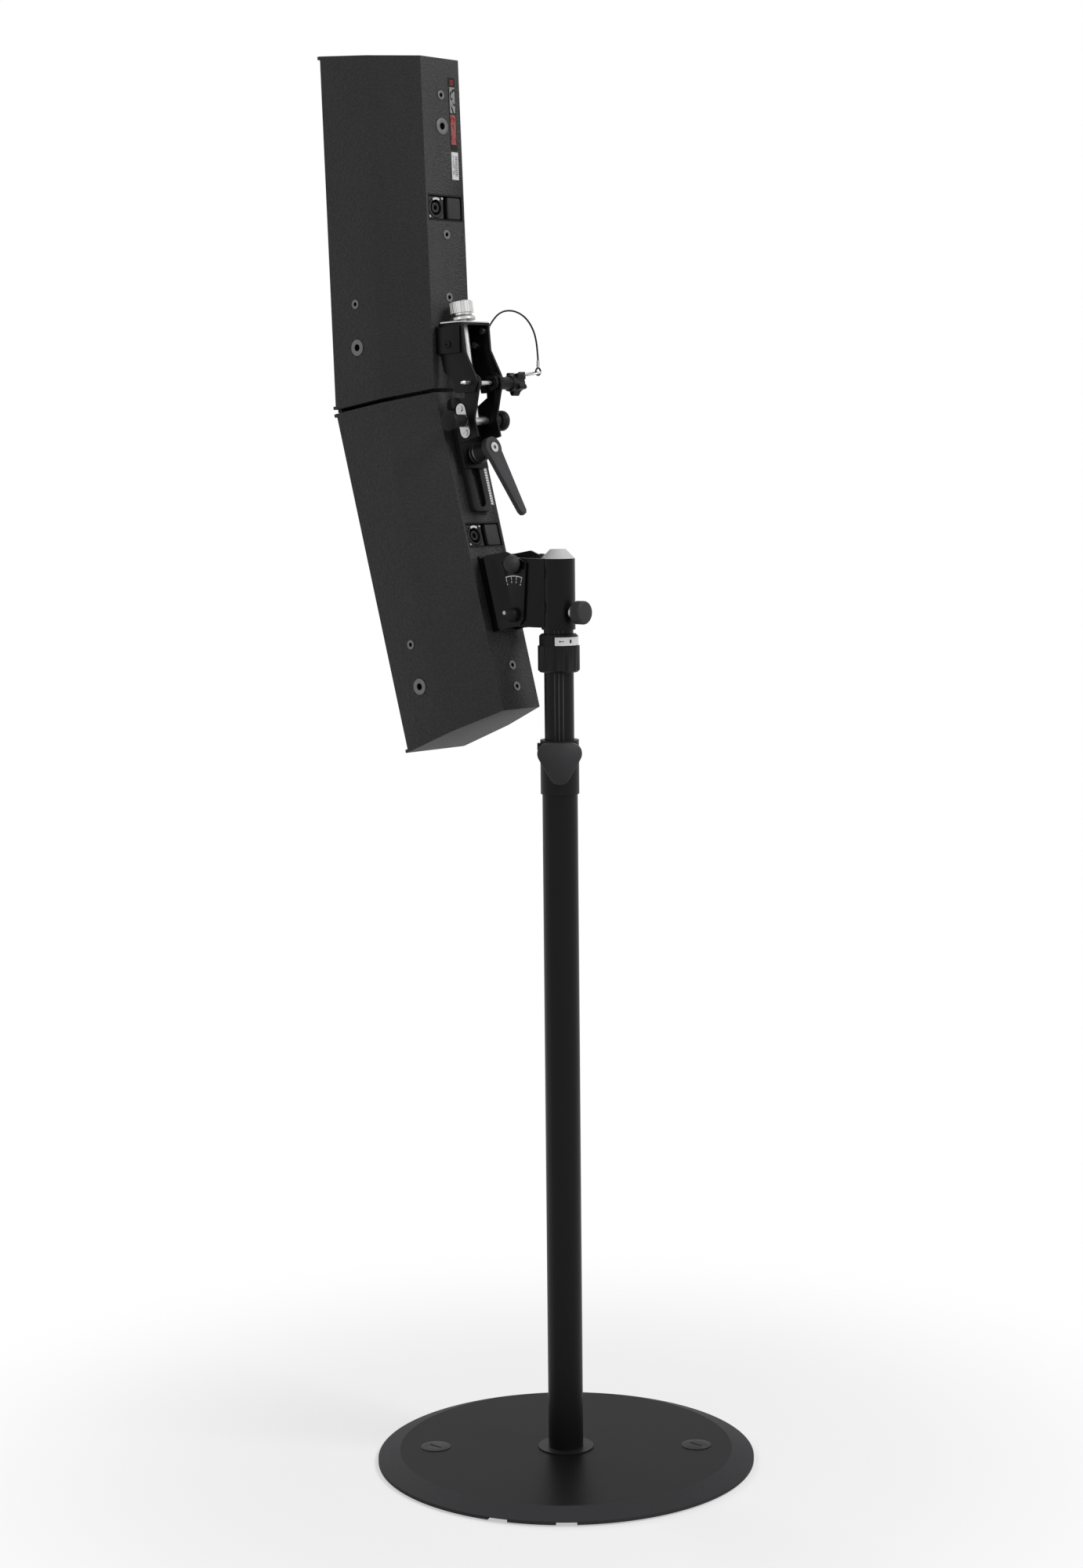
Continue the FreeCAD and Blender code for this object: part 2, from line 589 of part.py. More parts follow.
def cabinet(prefix, frame, shown, hidden, fixings=()):
    """A whole cabinet: shell, grille, drivers, horn, crossover, outlet panel and inserts."""
    front, knee = DEPTH, "taper_depth"
    half_rear = "rear_width / 2"
    shell = block("front_width / 2", half_rear, front, knee, "0", "0")
    inner_rear = ("(rear_width / 2 + (front_width - rear_width) / 2 * wall / taper_depth"
                  " - wall * %s)" % SLANT)
    inner_knee = ("(taper_depth * (1 + (wall * (%s - 1)) / ((front_width - rear_width) / 2)))"
                  % SLANT)
    baffle_back = "(%s - baffle_recess - wall)" % DEPTH
    hollow = block(INNER, inner_rear, baffle_back, inner_knee, "wall", "wall")
    bay = slab(("-%s - wall + 3" % INNER, "%s + wall - 3" % INNER),
               ("-%s - 1" % DEPTH, "-%s + baffle_recess" % DEPTH),
               ("-front_height / 2 + lip_height", "front_height / 2 - lip_height"))
    lips = []
    for low, high in (("front_height / 2 - lip_height", "front_height / 2"),
                      ("-front_height / 2", "-front_height / 2 + lip_height")):
        lips.append(slab(("-front_width / 2", "front_width / 2"),
                         ("-%s - lip_reach" % DEPTH, "-%s" % DEPTH), (low, high)))
    mouths = [bar("Y", ("0", rise), ("-%s - 1" % DEPTH, "-%s + 1" % baffle_back),
                  "cone_radius + 1.5") for rise in woofer_rises()]
    mouths.append(slab(("-horn_width / 2 + 4", "horn_width / 2 - 4"),
                       ("-%s - 1" % DEPTH, "-%s + 1" % baffle_back),
                       ("-horn_height / 2 + 4", "horn_height / 2 - 4")))
    window = slab(("-panel_width / 2", "panel_width / 2"), ("-panel_depth - body_gap", "1"),
                  ("panel_rise - panel_height / 2", "panel_rise + panel_height / 2"))
    inserts, holes = insert_pieces(shown, hidden)
    node(prefix + "_shell", frame,
         cut(join(shell, *lips), hollow, bay, window, *mouths, *holes,
             hinge_groove("" if prefix == "lower" else "-")))
    node(prefix + "_inserts", frame, *inserts, *fixings)
    grille(prefix, frame)
    drivers(prefix, frame)
    outlet_panel(prefix, frame)
    crossover(prefix, frame)


def grille(prefix, frame):
    """The bowed grille sheet that covers the front between the lips."""
    half = size("front_width") / 2 - size("wall") / 3 - size("grille_gap")
    face = -(size("straight_depth") + size("taper_depth"))
    crown = face - size("grille_bulge")
    rise = size("front_height") / 2 - size("lip_height") - size("grille_gap")
    thick = size("grille_thickness")
    vector = FreeCAD.Vector
    outer = Part.Arc(vector(-half, face, -rise), vector(0, crown, -rise), vector(half, face, -rise))
    inner = Part.Arc(vector(half, face + thick, -rise), vector(0, crown + thick, -rise),
                     vector(-half, face + thick, -rise))
    sides = [Part.LineSegment(vector(half, face, -rise), vector(half, face + thick, -rise)),
             Part.LineSegment(vector(-half, face + thick, -rise), vector(-half, face, -rise))]
    wire = Part.Wire([outer.toShape(), sides[0].toShape(), inner.toShape(), sides[1].toShape()])
    sheet_shape = Part.Face(wire).extrude(vector(0, 0, 2 * rise))
    feature = doc.addObject("Part::Feature", unique("grille_sheet"))
    feature.Shape = sheet_shape
    node(prefix + "_grille", frame, feature)


def drivers(prefix, frame):
    """Four cone drivers and the horn with its compression driver, all on the baffle."""
    seat = "(-%s + baffle_recess)" % DEPTH
    woofers = []
    for rise in woofer_rises():
        spot = ("0", rise)
        frame_ring = bar("Y", spot, (seat + " - 2", seat), "woofer_radius")
        basket = taper("Y", spot, (seat, seat + " + woofer_depth"),
                       ("cone_radius + 1", "magnet_radius - 4"))
        magnet = bar("Y", spot, (seat + " + woofer_depth",
                                 seat + " + woofer_depth + magnet_depth"), "magnet_radius")
        cone = taper("Y", spot, (seat + " - 3", seat + " + 16"), ("cone_radius - 2", "9"))
        cap = bar("Y", spot, (seat + " + 6", seat + " + 17"), "9.5")
        woofers.append(join(cut(join(frame_ring, basket, magnet), cone), cap))
    node(prefix + "_woofers", frame, *woofers)
    plate = slab(("-horn_width / 2", "horn_width / 2"), (seat + " - 2", seat),
                 ("-horn_height / 2", "horn_height / 2"))
    throat = slab(("-horn_width / 2 + 5", "horn_width / 2 - 5"),
                  (seat, seat + " + horn_depth"),
                  ("-horn_height / 2 + 5", "horn_height / 2 - 5"))
    flare = doc.addObject("Part::Wedge", unique("flare"))
    for side, expression in (("Xmin", "-horn_width / 2 + 8"), ("Xmax", "horn_width / 2 - 8"),
                             ("X2min", "-9"), ("X2max", "9"),
                             ("Ymin", seat + " - 2.5"), ("Ymax", seat + " + horn_depth - 4"),
                             ("Zmin", "-horn_height / 2 + 7"), ("Zmax", "horn_height / 2 - 7"),
                             ("Z2min", "-24"), ("Z2max", "24")):
        bind(flare, side, expression)
    port = bar("Y", ("0", "0"), (seat + " + horn_depth - 5", seat + " + horn_depth + 1"), "9")
    horn = cut(join(plate, throat), flare, port)
    driver = bar("Y", ("0", "0"), (seat + " + horn_depth", seat + " + horn_depth + driver_depth"),
                 "driver_radius")
    node(prefix + "_horn", frame, horn, driver)


def outlet_panel(prefix, frame):
    """The recessed outlet tray with its round socket and the square blanking cover."""
    low, high = "panel_rise - panel_height / 2", "panel_rise + panel_height / 2"
    half = "(panel_width / 2)"
    tray = cut(slab(("-" + half, half), ("-panel_depth", "0"), (low, high)),
               slab(("-%s + panel_wall" % half, "%s - panel_wall" % half),
                    ("-panel_depth + panel_wall", "1"),
                    (low + " + panel_wall", high + " - panel_wall")))
    floor = "(-panel_depth + panel_wall)"
    cover = slab(("-outlet_shift - 12.5", "-outlet_shift + 10"), (floor, "-6"),
                 (low + " + panel_wall + 0.6", high + " - panel_wall - 0.6"))
    node(prefix + "_panel", frame, tray, cover)
    centre = ("outlet_shift", "panel_rise")
    flange = slab(("outlet_shift - 12.8", "outlet_shift + 12.8"), (floor, floor + " + 2"),
                  ("panel_rise - 13", "panel_rise + 13"))
    barrel = ring("Y", centre, (floor + " + 2", "-5"), "outlet_radius", "outlet_radius - 2.5")
    core = ring("Y", centre, (floor + " + 2", floor + " + 6"), "outlet_radius - 6",
                "outlet_radius - 9")
    node(prefix + "_outlet", frame, join(flange, barrel, core))


def crossover(prefix, frame):
    """The crossover board on the back wall, with coils and capacitors."""
    board = slab(("-22", "22"), ("-wall - 3.6", "-wall - 2"), ("-112", "-24"))
    feet = [bar("Y", (x, z), ("-wall - 2", "-wall"), "3")
            for x in ("-17", "17") for z in ("-106", "-30")]
    face = "-wall - 3.6"
    coils = [cut(bar("Y", ("0", z), (face + " - 12", face), "13"),
                 bar("Y", ("0", z), (face + " - 13", face + " - 0.5"), "5"))
             for z in ("-45", "-78")]
    caps = [bar("Z", (x, "-wall - 3.6 - 5"), ("-109", "-94"), "5") for x in ("-13", "0", "13")]
    node(prefix + "_crossover", frame, join(board, *feet), *coils, *caps)


# ---------------------------------------------------------------- on the lower cabinet

def yoke():
    """The welded yoke on the lower cabinet: web, inner legs and the two slotted cheeks."""
    low = "(arm_inner + arm_thickness + cheek_gap)"
    high = "(%s + yoke_wall)" % low
    outline = [("cheek_start", "-10"), ("48", "-14"), ("76", "-34"), ("53", "-98"),
               ("44", "-pivot_drop - 14.3"), ("cheek_start", "-100")]
    cheek = prism("X", outline, (low, high), corner="3.5")
    hole = bar("X", ("pivot_standoff", "-pivot_drop"), (low + " - 1", high + " + 1"),
               "pivot_radius + run_fit")
    pivot = FreeCAD.Vector(0, size("pivot_standoff"), -size("pivot_drop"))
    reach = size("knob_spacing")
    half_slot = size("stud_radius") + 6 * size("run_fit")
    swing = math.radians(size("tilt_range"))
    rest = math.radians(size("lower_tilt"))

    def spot(radius, angle):
        return pivot + FreeCAD.Vector(size("arm_inner"), radius * math.sin(angle),
                                      radius * math.cos(angle))
    ends = (rest - swing, rest + swing)
    cap = half_slot / reach * 1.15
    outer = Part.Arc(spot(reach + half_slot, ends[0] - cap), spot(reach + half_slot, rest),
                     spot(reach + half_slot, ends[1] + cap))
    inner = Part.Arc(spot(reach - half_slot, ends[1] + cap), spot(reach - half_slot, rest),
                     spot(reach - half_slot, ends[0] - cap))
    close = [Part.LineSegment(outer.EndPoint, inner.StartPoint),
             Part.LineSegment(inner.EndPoint, outer.StartPoint)]
    wire = Part.Wire([outer.toShape(), close[0].toShape(), inner.toShape(), close[1].toShape()])
    slot = doc.addObject("Part::Feature", unique("tilt_slot"))
    slot.Shape = Part.Face(wire).extrude(FreeCAD.Vector(20, 0, 0))
    leg = slab(("arm_inner + arm_thickness + cheek_gap - yoke_wall", low), ("0", "22"),
               ("-100", "-11"))
    side = join(cut(cheek, hole, slot), leg)
    web = slab(("-" + low, low), ("0", "yoke_wall"), ("-100", "-8"))
    screw_holes = [bar("Y", ("0", rise), ("-1", "yoke_wall + 1"), "small_thread + 0.5")
                   for rise in YOKE_SCREWS]
    node("yoke", AT["lower"], cut(join(web, side, mirrored(side)), *screw_holes))


def socket_screw(centre, start, sense="Y"):
    """A round-headed cap screw on a back face, with its hexagon socket."""
    head = bar(sense, centre, (start, start + " + 3"), "4.8")
    return cut(head, bar(sense, centre, (start + " + 1", start + " + 4"), "2"))


def slide_rail():
    """The slotted rail with its hidden channel, and the printed angle strip beside it."""
    body = prism("Y", [("-rail_half", "rail_low"), ("rail_half", "rail_low"),
                       ("rail_half", "rail_high"), ("-rail_half", "rail_high")],
                 ("0", "rail_depth"), corner="6")
    low, high = "rail_low + rail_end", "rail_high - rail_end"
    middle = ("0", "rail_depth + 1")
    slot = join(slab(("-slot_half", "slot_half"), middle,
                     (low + " + slot_half", high + " - slot_half")),
                bar("Y", ("0", low + " + slot_half"), middle, "slot_half"),
                bar("Y", ("0", high + " - slot_half"), middle, "slot_half"))
    channel = slab(("-channel_half", "channel_half"), ("-1", "rail_depth - rail_plate"),
                   (low + " + 3", high + " - 3"))
    node("slide_rail", AT["lower"], cut(body, slot, channel))
    strip = slab(("-28", "-rail_half - 1.5"), ("0", "0.6"), ("rail_low + 9", "rail_low + 66"))
    node("angle_scale", AT["lower"], strip)


def yoke_screws():
    """The cap screws that hold the yoke to the lower cabinet's inserts."""
    screws = []
    for rise in YOKE_SCREWS:
        shank = bar("Y", ("0", rise), ("-insert_depth + 1", "yoke_wall"), "small_thread - run_fit")
        screws.append(join(socket_screw(("0", rise), "yoke_wall"), shank))
    return screws


WEB_FACE = "(rail_depth + body_gap)"
WEB_BACK = "(rail_depth + body_gap + link_wall)"
LINK_INNER = "(link_half - link_wall)"


def link():
    """The link that slides on the rail: bracket, clamp nut and the plunger flanges."""
    outline = [(WEB_FACE, "128"), ("42", "128"), ("42", "150"), ("61", "186"), ("62", "195"),
               ("56", "203"), ("44", "203"), ("37", "195"), ("34", "178"), (WEB_FACE, "170")]
    cheek = prism("X", outline, (LINK_INNER, "link_half"))
    boss = bar("X", ("pin_out", "pin_rise"), (LINK_INNER + " - 5", LINK_INNER + " + 1"), "9.5")
    slot = bar("X", ("pin_out + 0.65", "pin_rise"), (LINK_INNER + " - 6", "link_half + 1"),
               "pin_radius + pin_clearance")
    nose = bar("X", ("plunger_out", "plunger_rise"), ("0", "link_half + 1"),
               "plunger_radius + run_fit")
    side = cut(join(cheek, boss), slot, nose)
    web = slab(("-link_half", "link_half"), (WEB_FACE, WEB_BACK), ("link_low", "170"))
    stud_way = bar("Y", ("0", "lever_rise"), ("0", "20"), "stud_radius + run_fit")
    bracket_piece = cut(join(web, side, mirrored(side)), stud_way)
    nut = cut(slab(("-channel_half + 1", "channel_half - 1"),
                   ("body_gap", "rail_depth - rail_plate - body_gap"),
                   ("lever_rise - 10", "lever_rise + 10")),
              bar("Y", ("0", "lever_rise"), ("-1", "20"), "stud_radius + run_fit"))
    node("link_bracket", AT["lower"], bracket_piece)
    node("clamp_nut", AT["lower"], nut)
    spot = ("plunger_out", "plunger_rise")
    plate = join(bar("X", ("plunger_out", "plunger_rise - 13.5"), ("link_half", "link_half + 1.5"),
                     "7.3"),
                 bar("X", ("plunger_out", "plunger_rise + 13.5"), ("link_half", "link_half + 1.5"),
                     "7.3"),
                 slab(("link_half", "link_half + 1.5"), ("plunger_out - 7.3", "plunger_out + 7.3"),
                      ("plunger_rise - 13.5", "plunger_rise + 13.5")))
    plate_piece = cut(plate, bar("X", spot, ("0", "link_half + 3"), "plunger_radius + run_fit"))
    barrel = ring("X", spot, ("link_half + 1.5", "link_half + 1.5 + barrel_length"),
                  "barrel_radius", "plunger_radius + run_fit")
    screws = [cut(bar("X", ("plunger_out", "plunger_rise " + step),
                      ("link_half + 1.5", "link_half + 2.9"), "3.6"),
                  slab(("link_half + 2.2", "link_half + 4"),
                       ("plunger_out - 2.2", "plunger_out + 2.2"),
                       ("plunger_rise %s - 0.5" % step, "plunger_rise %s + 0.5" % step)))
              for step in ("- 15", "+ 15")]
    near = [plate_piece, barrel, *screws]
    node("plunger_plates", AT["lower"], *near, *[mirrored(piece) for piece in near])


def plunger(name, flipped):
    """One spring plunger: the nose pin and its mushroom knob, pulled outwards to release."""
    spot = ("plunger_out", "plunger_rise")
    end = "(link_half + 1.5 + barrel_length + body_gap)"
    nose = bar("X", spot, ("plunger_nose", end + " + 1"), "plunger_radius")
    head = join(taper("X", spot, (end, end + " + 4"), ("plunger_head - 3", "plunger_head")),
                bar("X", spot, (end + " + 4", end + " + 9"), "plunger_head"),
                taper("X", spot, (end + " + 9", end + " + 12"),
                      ("plunger_head", "plunger_head - 4")))
    piece = join(nose, head)
    node(name, AT["lower"], mirrored(piece) if flipped else piece)


def clamping_lever():
    """The rail clamp: hub, leaning lever arm and the long socket screw through both."""
    spot = ("0", "lever_rise")
    hub_top = "(rail_depth + 2 * body_gap + link_wall + hub_height)"
    base = "(rail_depth + 2 * body_gap + link_wall)"
    hub = join(bar("Y", spot, (base, base + " + 3"), "hub_radius - 1.5"),
               bar("Y", spot, (base + " + 3", base + " + 5"), "hub_radius"),
               bar("Y", spot, (base + " + 5", base + " + 8"), "hub_radius - 1"),
               bar("Y", spot, (base + " + 8", base + " + 10"), "hub_radius"),
               taper("Y", spot, (base + " + 10", hub_top), ("hub_radius", "hub_radius - 4")))
    way = bar("Y", spot, ("0", hub_top + " + 20"), "stud_radius")
    node("lever_hub", AT["lower"], cut(hub, way))
    head = bar("Y", spot, (hub_top, hub_top + " + lever_thickness + 2"), "lever_root")
    arm = prism("Y", [("-lever_shoulder", "0"), ("-lever_tip", "-lever_length + 4"),
                      ("-lever_tip + 2.5", "-lever_length"), ("lever_tip - 2.5", "-lever_length"),
                      ("lever_tip", "-lever_length + 4"), ("lever_shoulder", "0")],
                ("0", "lever_thickness"))
    lean = FreeCAD.Placement(
        FreeCAD.Vector(0, size("rail_depth") + 2 * size("body_gap") + size("link_wall")
                       + size("hub_height") + 0.8, size("lever_rise")),
        turn((1, 0, 0), size("lever_lean")))
    recess = bar("Y", spot, (hub_top + " + 4", hub_top + " + 20"), "6.3")
    lever = cut(join(head, moved(arm, lean)), recess, way)
    node("clamp_lever", AT["lower"], lever)
    screw = cut(join(bar("Y", spot, ("body_gap", hub_top + " + 4"), "stud_radius - 0.02"),
                     bar("Y", spot, (hub_top + " + 4", hub_top + " + 9.5"), "6")),
                prism("Y", [("%g" % (2.6 * math.cos(math.pi / 3 * step)),
                             "lever_rise + %g" % (2.6 * math.sin(math.pi / 3 * step)))
                            for step in range(6)],
                      (hub_top + " + 6", hub_top + " + 11")))
    node("lever_screw", AT["lower"], screw)


def hinge_rod():
    """The rod along the meeting front edges, on which the upper cabinet tips."""
    node("hinge_rod", AT["hinge"],
         bar("X", ("0", "0"), ("-front_width / 2 + hinge_end", "front_width / 2 - hinge_end"),
             "hinge_radius"))


# ---------------------------------------------------------------- on the upper cabinet

def adjuster():
    """The adjusting rod with its cross bush, and the knurled nut on its upper end."""
    rise = AT["seat_rise"]
    bush = cut(bar("X", ("0", "0"), ("-%s + body_gap" % LINK_INNER, LINK_INNER + " - body_gap"),
                   "bush_radius"),
               bar("X", ("0", "0"), ("-30", "30"), "plunger_radius + run_fit"))
    shank = cut(bar("Z", ("0", "0"), ("0", "%g + 20" % rise), "rod_radius"),
                bar("X", ("0", "0"), ("-30", "30"), "plunger_radius + run_fit"))
    node("adjuster_rod", AT["rod"], join(bush, shank))
    low = "(%g + washer_thickness + body_gap)" % (rise + AT["nut_lift"])
    mid = "(%s + nut_base_height)" % low
    top = "(%s + nut_height)" % mid
    nut = join(bar("Z", ("0", "0"), (low, low + " + 3"), "nut_base_radius"),
               taper("Z", ("0", "0"), (low + " + 3", low + " + 6"),
                     ("nut_base_radius", "nut_radius - 2.5")),
               bar("Z", ("0", "0"), (low + " + 6", mid), "nut_radius - 2.5"),
               bar("Z", ("0", "0"), (mid, top + " - 1"), "nut_radius"),
               taper("Z", ("0", "0"), (top + " - 1", top), ("nut_radius", "nut_radius - 1")))
    knurls = [bar("Z", around("(nut_radius + 0.5)", 12 * step), (mid + " - 0.5", top + " + 1"),
                  "1") for step in range(30)]
    bore = bar("Z", ("0", "0"), ("0", "%g + 20.1" % rise), "rod_radius + run_fit")
    node("adjuster_nut", AT["rod"], cut(nut, bore, *knurls))


UPPER_LOW, UPPER_HIGH = "(link_half + cheek_gap)", "(link_half + cheek_gap + link_wall)"


def upper_bracket():
    """The slotted top plate and the two long cheeks down to the release pin."""
    local = AT["upper"].inverse().multVec(AT["pin"].Base)
    out, rise = "%.4f" % local.y, "%.4f" % local.z
    outline = [("3.3", "-bracket_top"), ("41", "-bracket_top"), ("42.7", "-152"),
               (out + " + 7", "%s + 13" % rise), (out + " + 12", "%s + 2" % rise),
               (out + " + 7", "%s - 11" % rise), (out + " - 24", "%s - 11" % rise),
               (out + " - 28", "%s + 7" % rise), ("9", "-177"), ("3.3", "-152")]
    cheek = cut(prism("X", outline, (UPPER_LOW, UPPER_HIGH)),
                bar("X", (out, rise), ("0", "60"), "pin_radius + run_fit"))
    hole = moved(bar("Z", ("0", "0"), ("0", "%g + 10" % AT["seat_rise"]), "rod_radius + 2"),
                 AT["upper"].inverse().multiply(AT["rod"]))
    top = slab(("-" + UPPER_LOW, UPPER_LOW), ("3.3", "41"), ("-bracket_top - 3", "-bracket_top"))
    node("upper_bracket", AT["upper"], cut(join(top, cheek, mirrored(cheek)), hole))
    washer = cut(slab(("-" + UPPER_HIGH + " - 3", UPPER_HIGH + " + 3"), ("9", "37"),
                      ("-bracket_top", "-bracket_top + washer_thickness")), hole)
    node("washer_plate", AT["upper"], washer)
    low, high = UPPER_HIGH, "(%s + link_wall)" % UPPER_HIGH
    span = ("-bracket_top - 4 - hanger_height", "-bracket_top - 4")
    tab = prism("X", [("0", span[0]), ("hanger_depth", span[0]), ("hanger_depth", span[1]),
                      ("0", span[1])], (low, high))
    web = slab(("-" + low, low), ("0", "link_wall"), span)
    web_hole = bar("Y", ("0", HANGER_SCREW), ("-1", "5"), "small_thread + 0.5")
    node("upper_hanger", AT["upper"], cut(join(web, tab, mirrored(tab)), web_hole))
    screws = []
    for flipped, spot in ((False, ("20", "-145")), (True, ("20", "-145")),
                          (True, ("33", "-129"))):
        head = cut(join(bar("X", spot, (high, high + " + 1.2"), "4.6"),
                        taper("X", spot, (high + " + 1.2", high + " + 2.8"), ("4.6", "2.8"))),
                   bar("X", spot, (high + " + 1.2", high + " + 4"), "1.6"))
        nut = bar("X", spot, (UPPER_LOW + " - 3", UPPER_LOW), "4.2")
        for piece in (head, nut):
            screws.append(mirrored(piece) if flipped else piece)
    shank = bar("Y", ("0", HANGER_SCREW), ("-insert_depth + 1", "link_wall"),
                "small_thread - run_fit")
    screws.append(join(socket_screw(("0", HANGER_SCREW), "link_wall"), shank))
    anchor = cut(moved(cord_anchor(), AT["upper"].inverse()), mirrored(tab))
    node("hanger_screws", AT["upper"], *screws, anchor)


def upper_labels():
    """The recessed name plate blank and the small serial label on the upper back."""
    plate = slab(("-24.5", "-13.5"), ("0", "0.5"), ("88", "173"))
    label = slab(("-25.5", "-14"), ("0", "0.3"), ("53", "85.5"))
    node("upper_labels", AT["upper"], plate, label)


def star_outline(points=40):
    """The lobed outline of the pin's hand knob."""
    outline = []
    for step in range(points):
        angle = math.radians(360 * step / points)
        crest = (1 + math.cos(size("star_lobes") * (angle - math.radians(size("star_turn"))))) / 2
        reach = size("star_low") + (size("star_high") - size("star_low")) * crest ** 1.5
        outline.append(("%.4f" % (reach * math.cos(angle)), "%.4f" % (reach * math.sin(angle))))
    return outline


def release_pin():
    """The quick-release pin: shaft, lobed knob and the ring that holds the cord."""
    near = "pin_tip"
    tip = taper("X", ("0", "0"), (near + " - 3", near), ("pin_radius", "pin_radius - 1.4"))
    shaft = bar("X", ("0", "0"), ("-%s - 16" % UPPER_HIGH, near + " - 3"), "pin_radius")
    hole = bar("Y", ("pin_tip - 6", "0"), ("-8", "8"), "1.3")
    node("release_pin", AT["pin"], cut(join(shaft, tip), hole))
    inner = "(-%s - body_gap)" % UPPER_HIGH
    neck = bar("X", ("0", "0"), (inner + " - 20", inner), "7.5")
    core = bar("X", ("0", "0"), (inner + " - 40", inner + " - 20"), "star_low")
    star = prism("X", star_outline(), (inner + " - 38", inner + " - 26"))
    tab = slab((inner + " - 50", inner + " - 39"), ("-1.6", "1.6"),
               ("tab_rise - 4.6", "tab_rise + 4.4"))
    eye = bar("Y", (inner + " - 46", "tab_rise"), ("-3", "3"), "2")
    seat = bar("X", ("0", "0"), ("-%s - 16" % UPPER_HIGH, "0"), "pin_radius")
    knob = cut(join(neck, core, tab, star), eye, seat)
    node("pin_knob", AT["pin"], knob)
    loop = doc.addObject("Part::Torus", unique("split_ring"))
    bind(loop, "Radius1", "ring_radius")
    bind(loop, "Radius2", "ring_wire")
    loop.Placement.Rotation = turn((0, 1, 0), size("ring_tilt"))
    bind(loop, "Placement.Base.x", inner + " - 46 - ring_radius * cos(ring_tilt)")
    bind(loop, "Placement.Base.z", "tab_rise + ring_radius * sin(ring_tilt)")
    node("pin_ring", AT["pin"], loop)


def bent_tube(points, radius):
    """A tube along straight runs joined by tangent arcs, each as large as its runs allow."""
    edges, start = [], points[0]
    for before, corner, after in zip(points, points[1:], points[2:]):
        come, leave = corner - before, after - corner
        bend = come.getAngle(leave)
        setback = 0.45 * min(come.Length, leave.Length)
        print("cord radius %.1f" % (setback / math.tan(bend / 2)))
        come.normalize()
        leave.normalize()
        first, last = corner - come * setback, corner + leave * setback
        centre_way = leave - come
        centre_way.normalize()
        arc_radius = setback / math.tan(bend / 2)
        middle = corner + centre_way * (arc_radius / math.cos(bend / 2) - arc_radius)
        edges.append(Part.LineSegment(start, first).toShape())
        edges.append(Part.Arc(first, middle, last).toShape())
        start = last
    edges.append(Part.LineSegment(start, points[-1]).toShape())
    path = Part.Wire(edges)
    way = points[1] - points[0]
    circle = Part.Wire(Part.makeCircle(radius, points[0], way))
    tube = path.makePipeShell([circle], True, True)
    print("cord volume ratio %.4f" % (tube.Volume / (math.pi * radius ** 2 * path.Length)))
    return tube


def cord_anchor():
    """The crimped ferrule that holds the cord's upper end to the hanger."""
    start, after = (FreeCAD.Vector(*point) for point in CORD_POINTS[:2])
    way = (after - start).normalize()
    sleeve = doc.addObject("Part::Cylinder", unique("crimp"))
    bind(sleeve, "Radius", "crimp_radius")
    bind(sleeve, "Height", "crimp_length")
    sleeve.Placement = FreeCAD.Placement(start - way * size("crimp_length"),
                                         FreeCAD.Rotation(FreeCAD.Vector(0, 0, 1), way))
    return sleeve


CORD_POINTS = ((-31, -133, 1363), (-39, -131, 1375), (-53, -128, 1382.5), (-69, -124, 1382),
               (-83, -119.5, 1374), (-92.5, -116, 1359), (-96.5, -114.5, 1341),
               (-97.2, -114, 1323))


def lanyard():
    """The thin cord from the hanger to the pin's ring, with a crimped ferrule at each end."""
    points = [FreeCAD.Vector(*point) for point in CORD_POINTS]
    feature = doc.addObject("Part::Feature", unique("cord"))
    feature.Shape = bent_tube(points, size("cord_radius"))
    node("lanyard", WORLD, feature)
    low = points[-1]
    crimp = bar("Z", ("%g" % low.x, "%g" % low.y),
                ("%g - crimp_length" % low.z, "%g - 3 * run_fit" % low.z), "crimp_radius")
    loop = doc.addObject("Part::Torus", unique("eye_loop"))
    bind(loop, "Radius1", "eye_radius")
    bind(loop, "Radius2", "cord_radius")
    drop = size("crimp_length") + size("eye_radius") + size("cord_radius") - 0.2
    loop.Placement = FreeCAD.Placement(low - FreeCAD.Vector(0, 0, drop), turn((1, 0, 0), 90))
    node("lanyard_eye", WORLD, join(crimp, loop))


def check_and_write():
    """Check every object and every sub-part, then write each sub-part to its own file."""
    doc.recompute()
    for thing in doc.Objects:
        if "Invalid" in thing.State or "Error" in thing.State:
            raise RuntimeError("%s: %s" % (thing.Name, thing.State))
    for piece in NODES:
        if piece.Shape.isNull() or not piece.Shape.isValid() or not piece.Shape.Solids:
            raise RuntimeError("bad shape: " + piece.Label)
    os.makedirs("parts", exist_ok=True)
    for piece in NODES:
        piece.Shape.exportStep("parts/%s.step" % piece.Label)


stand_base()
stand_tube()
clamp_knob()
upper_pole()
lock_collar()
bracket()
thumb_screw()
tilt_knob("tilt_knob_near", False)
tilt_knob("tilt_knob_far", True)
cabinet("lower", AT["lower"], (-141.5, -167.4), YOKE_SCREWS, yoke_screws())
yoke()
slide_rail()
link()
plunger("plunger_near", False)
plunger("plunger_far", True)
clamping_lever()
hinge_rod()
adjuster()
cabinet("upper", AT["upper"], (151.4, 114.8, -12.7, -86.9), (HANGER_SCREW,))
upper_bracket()
upper_labels()
release_pin()
lanyard()
check_and_write()
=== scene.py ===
"""The finish of a two-cabinet column loudspeaker on its pole stand: rounded castings and paint,
perforated grilles, printed scales, the safety cord, and a plain studio to see them in.

Lengths are in metres. Each cabinet has its own frame: x across, y out of its back, z along it.
"""

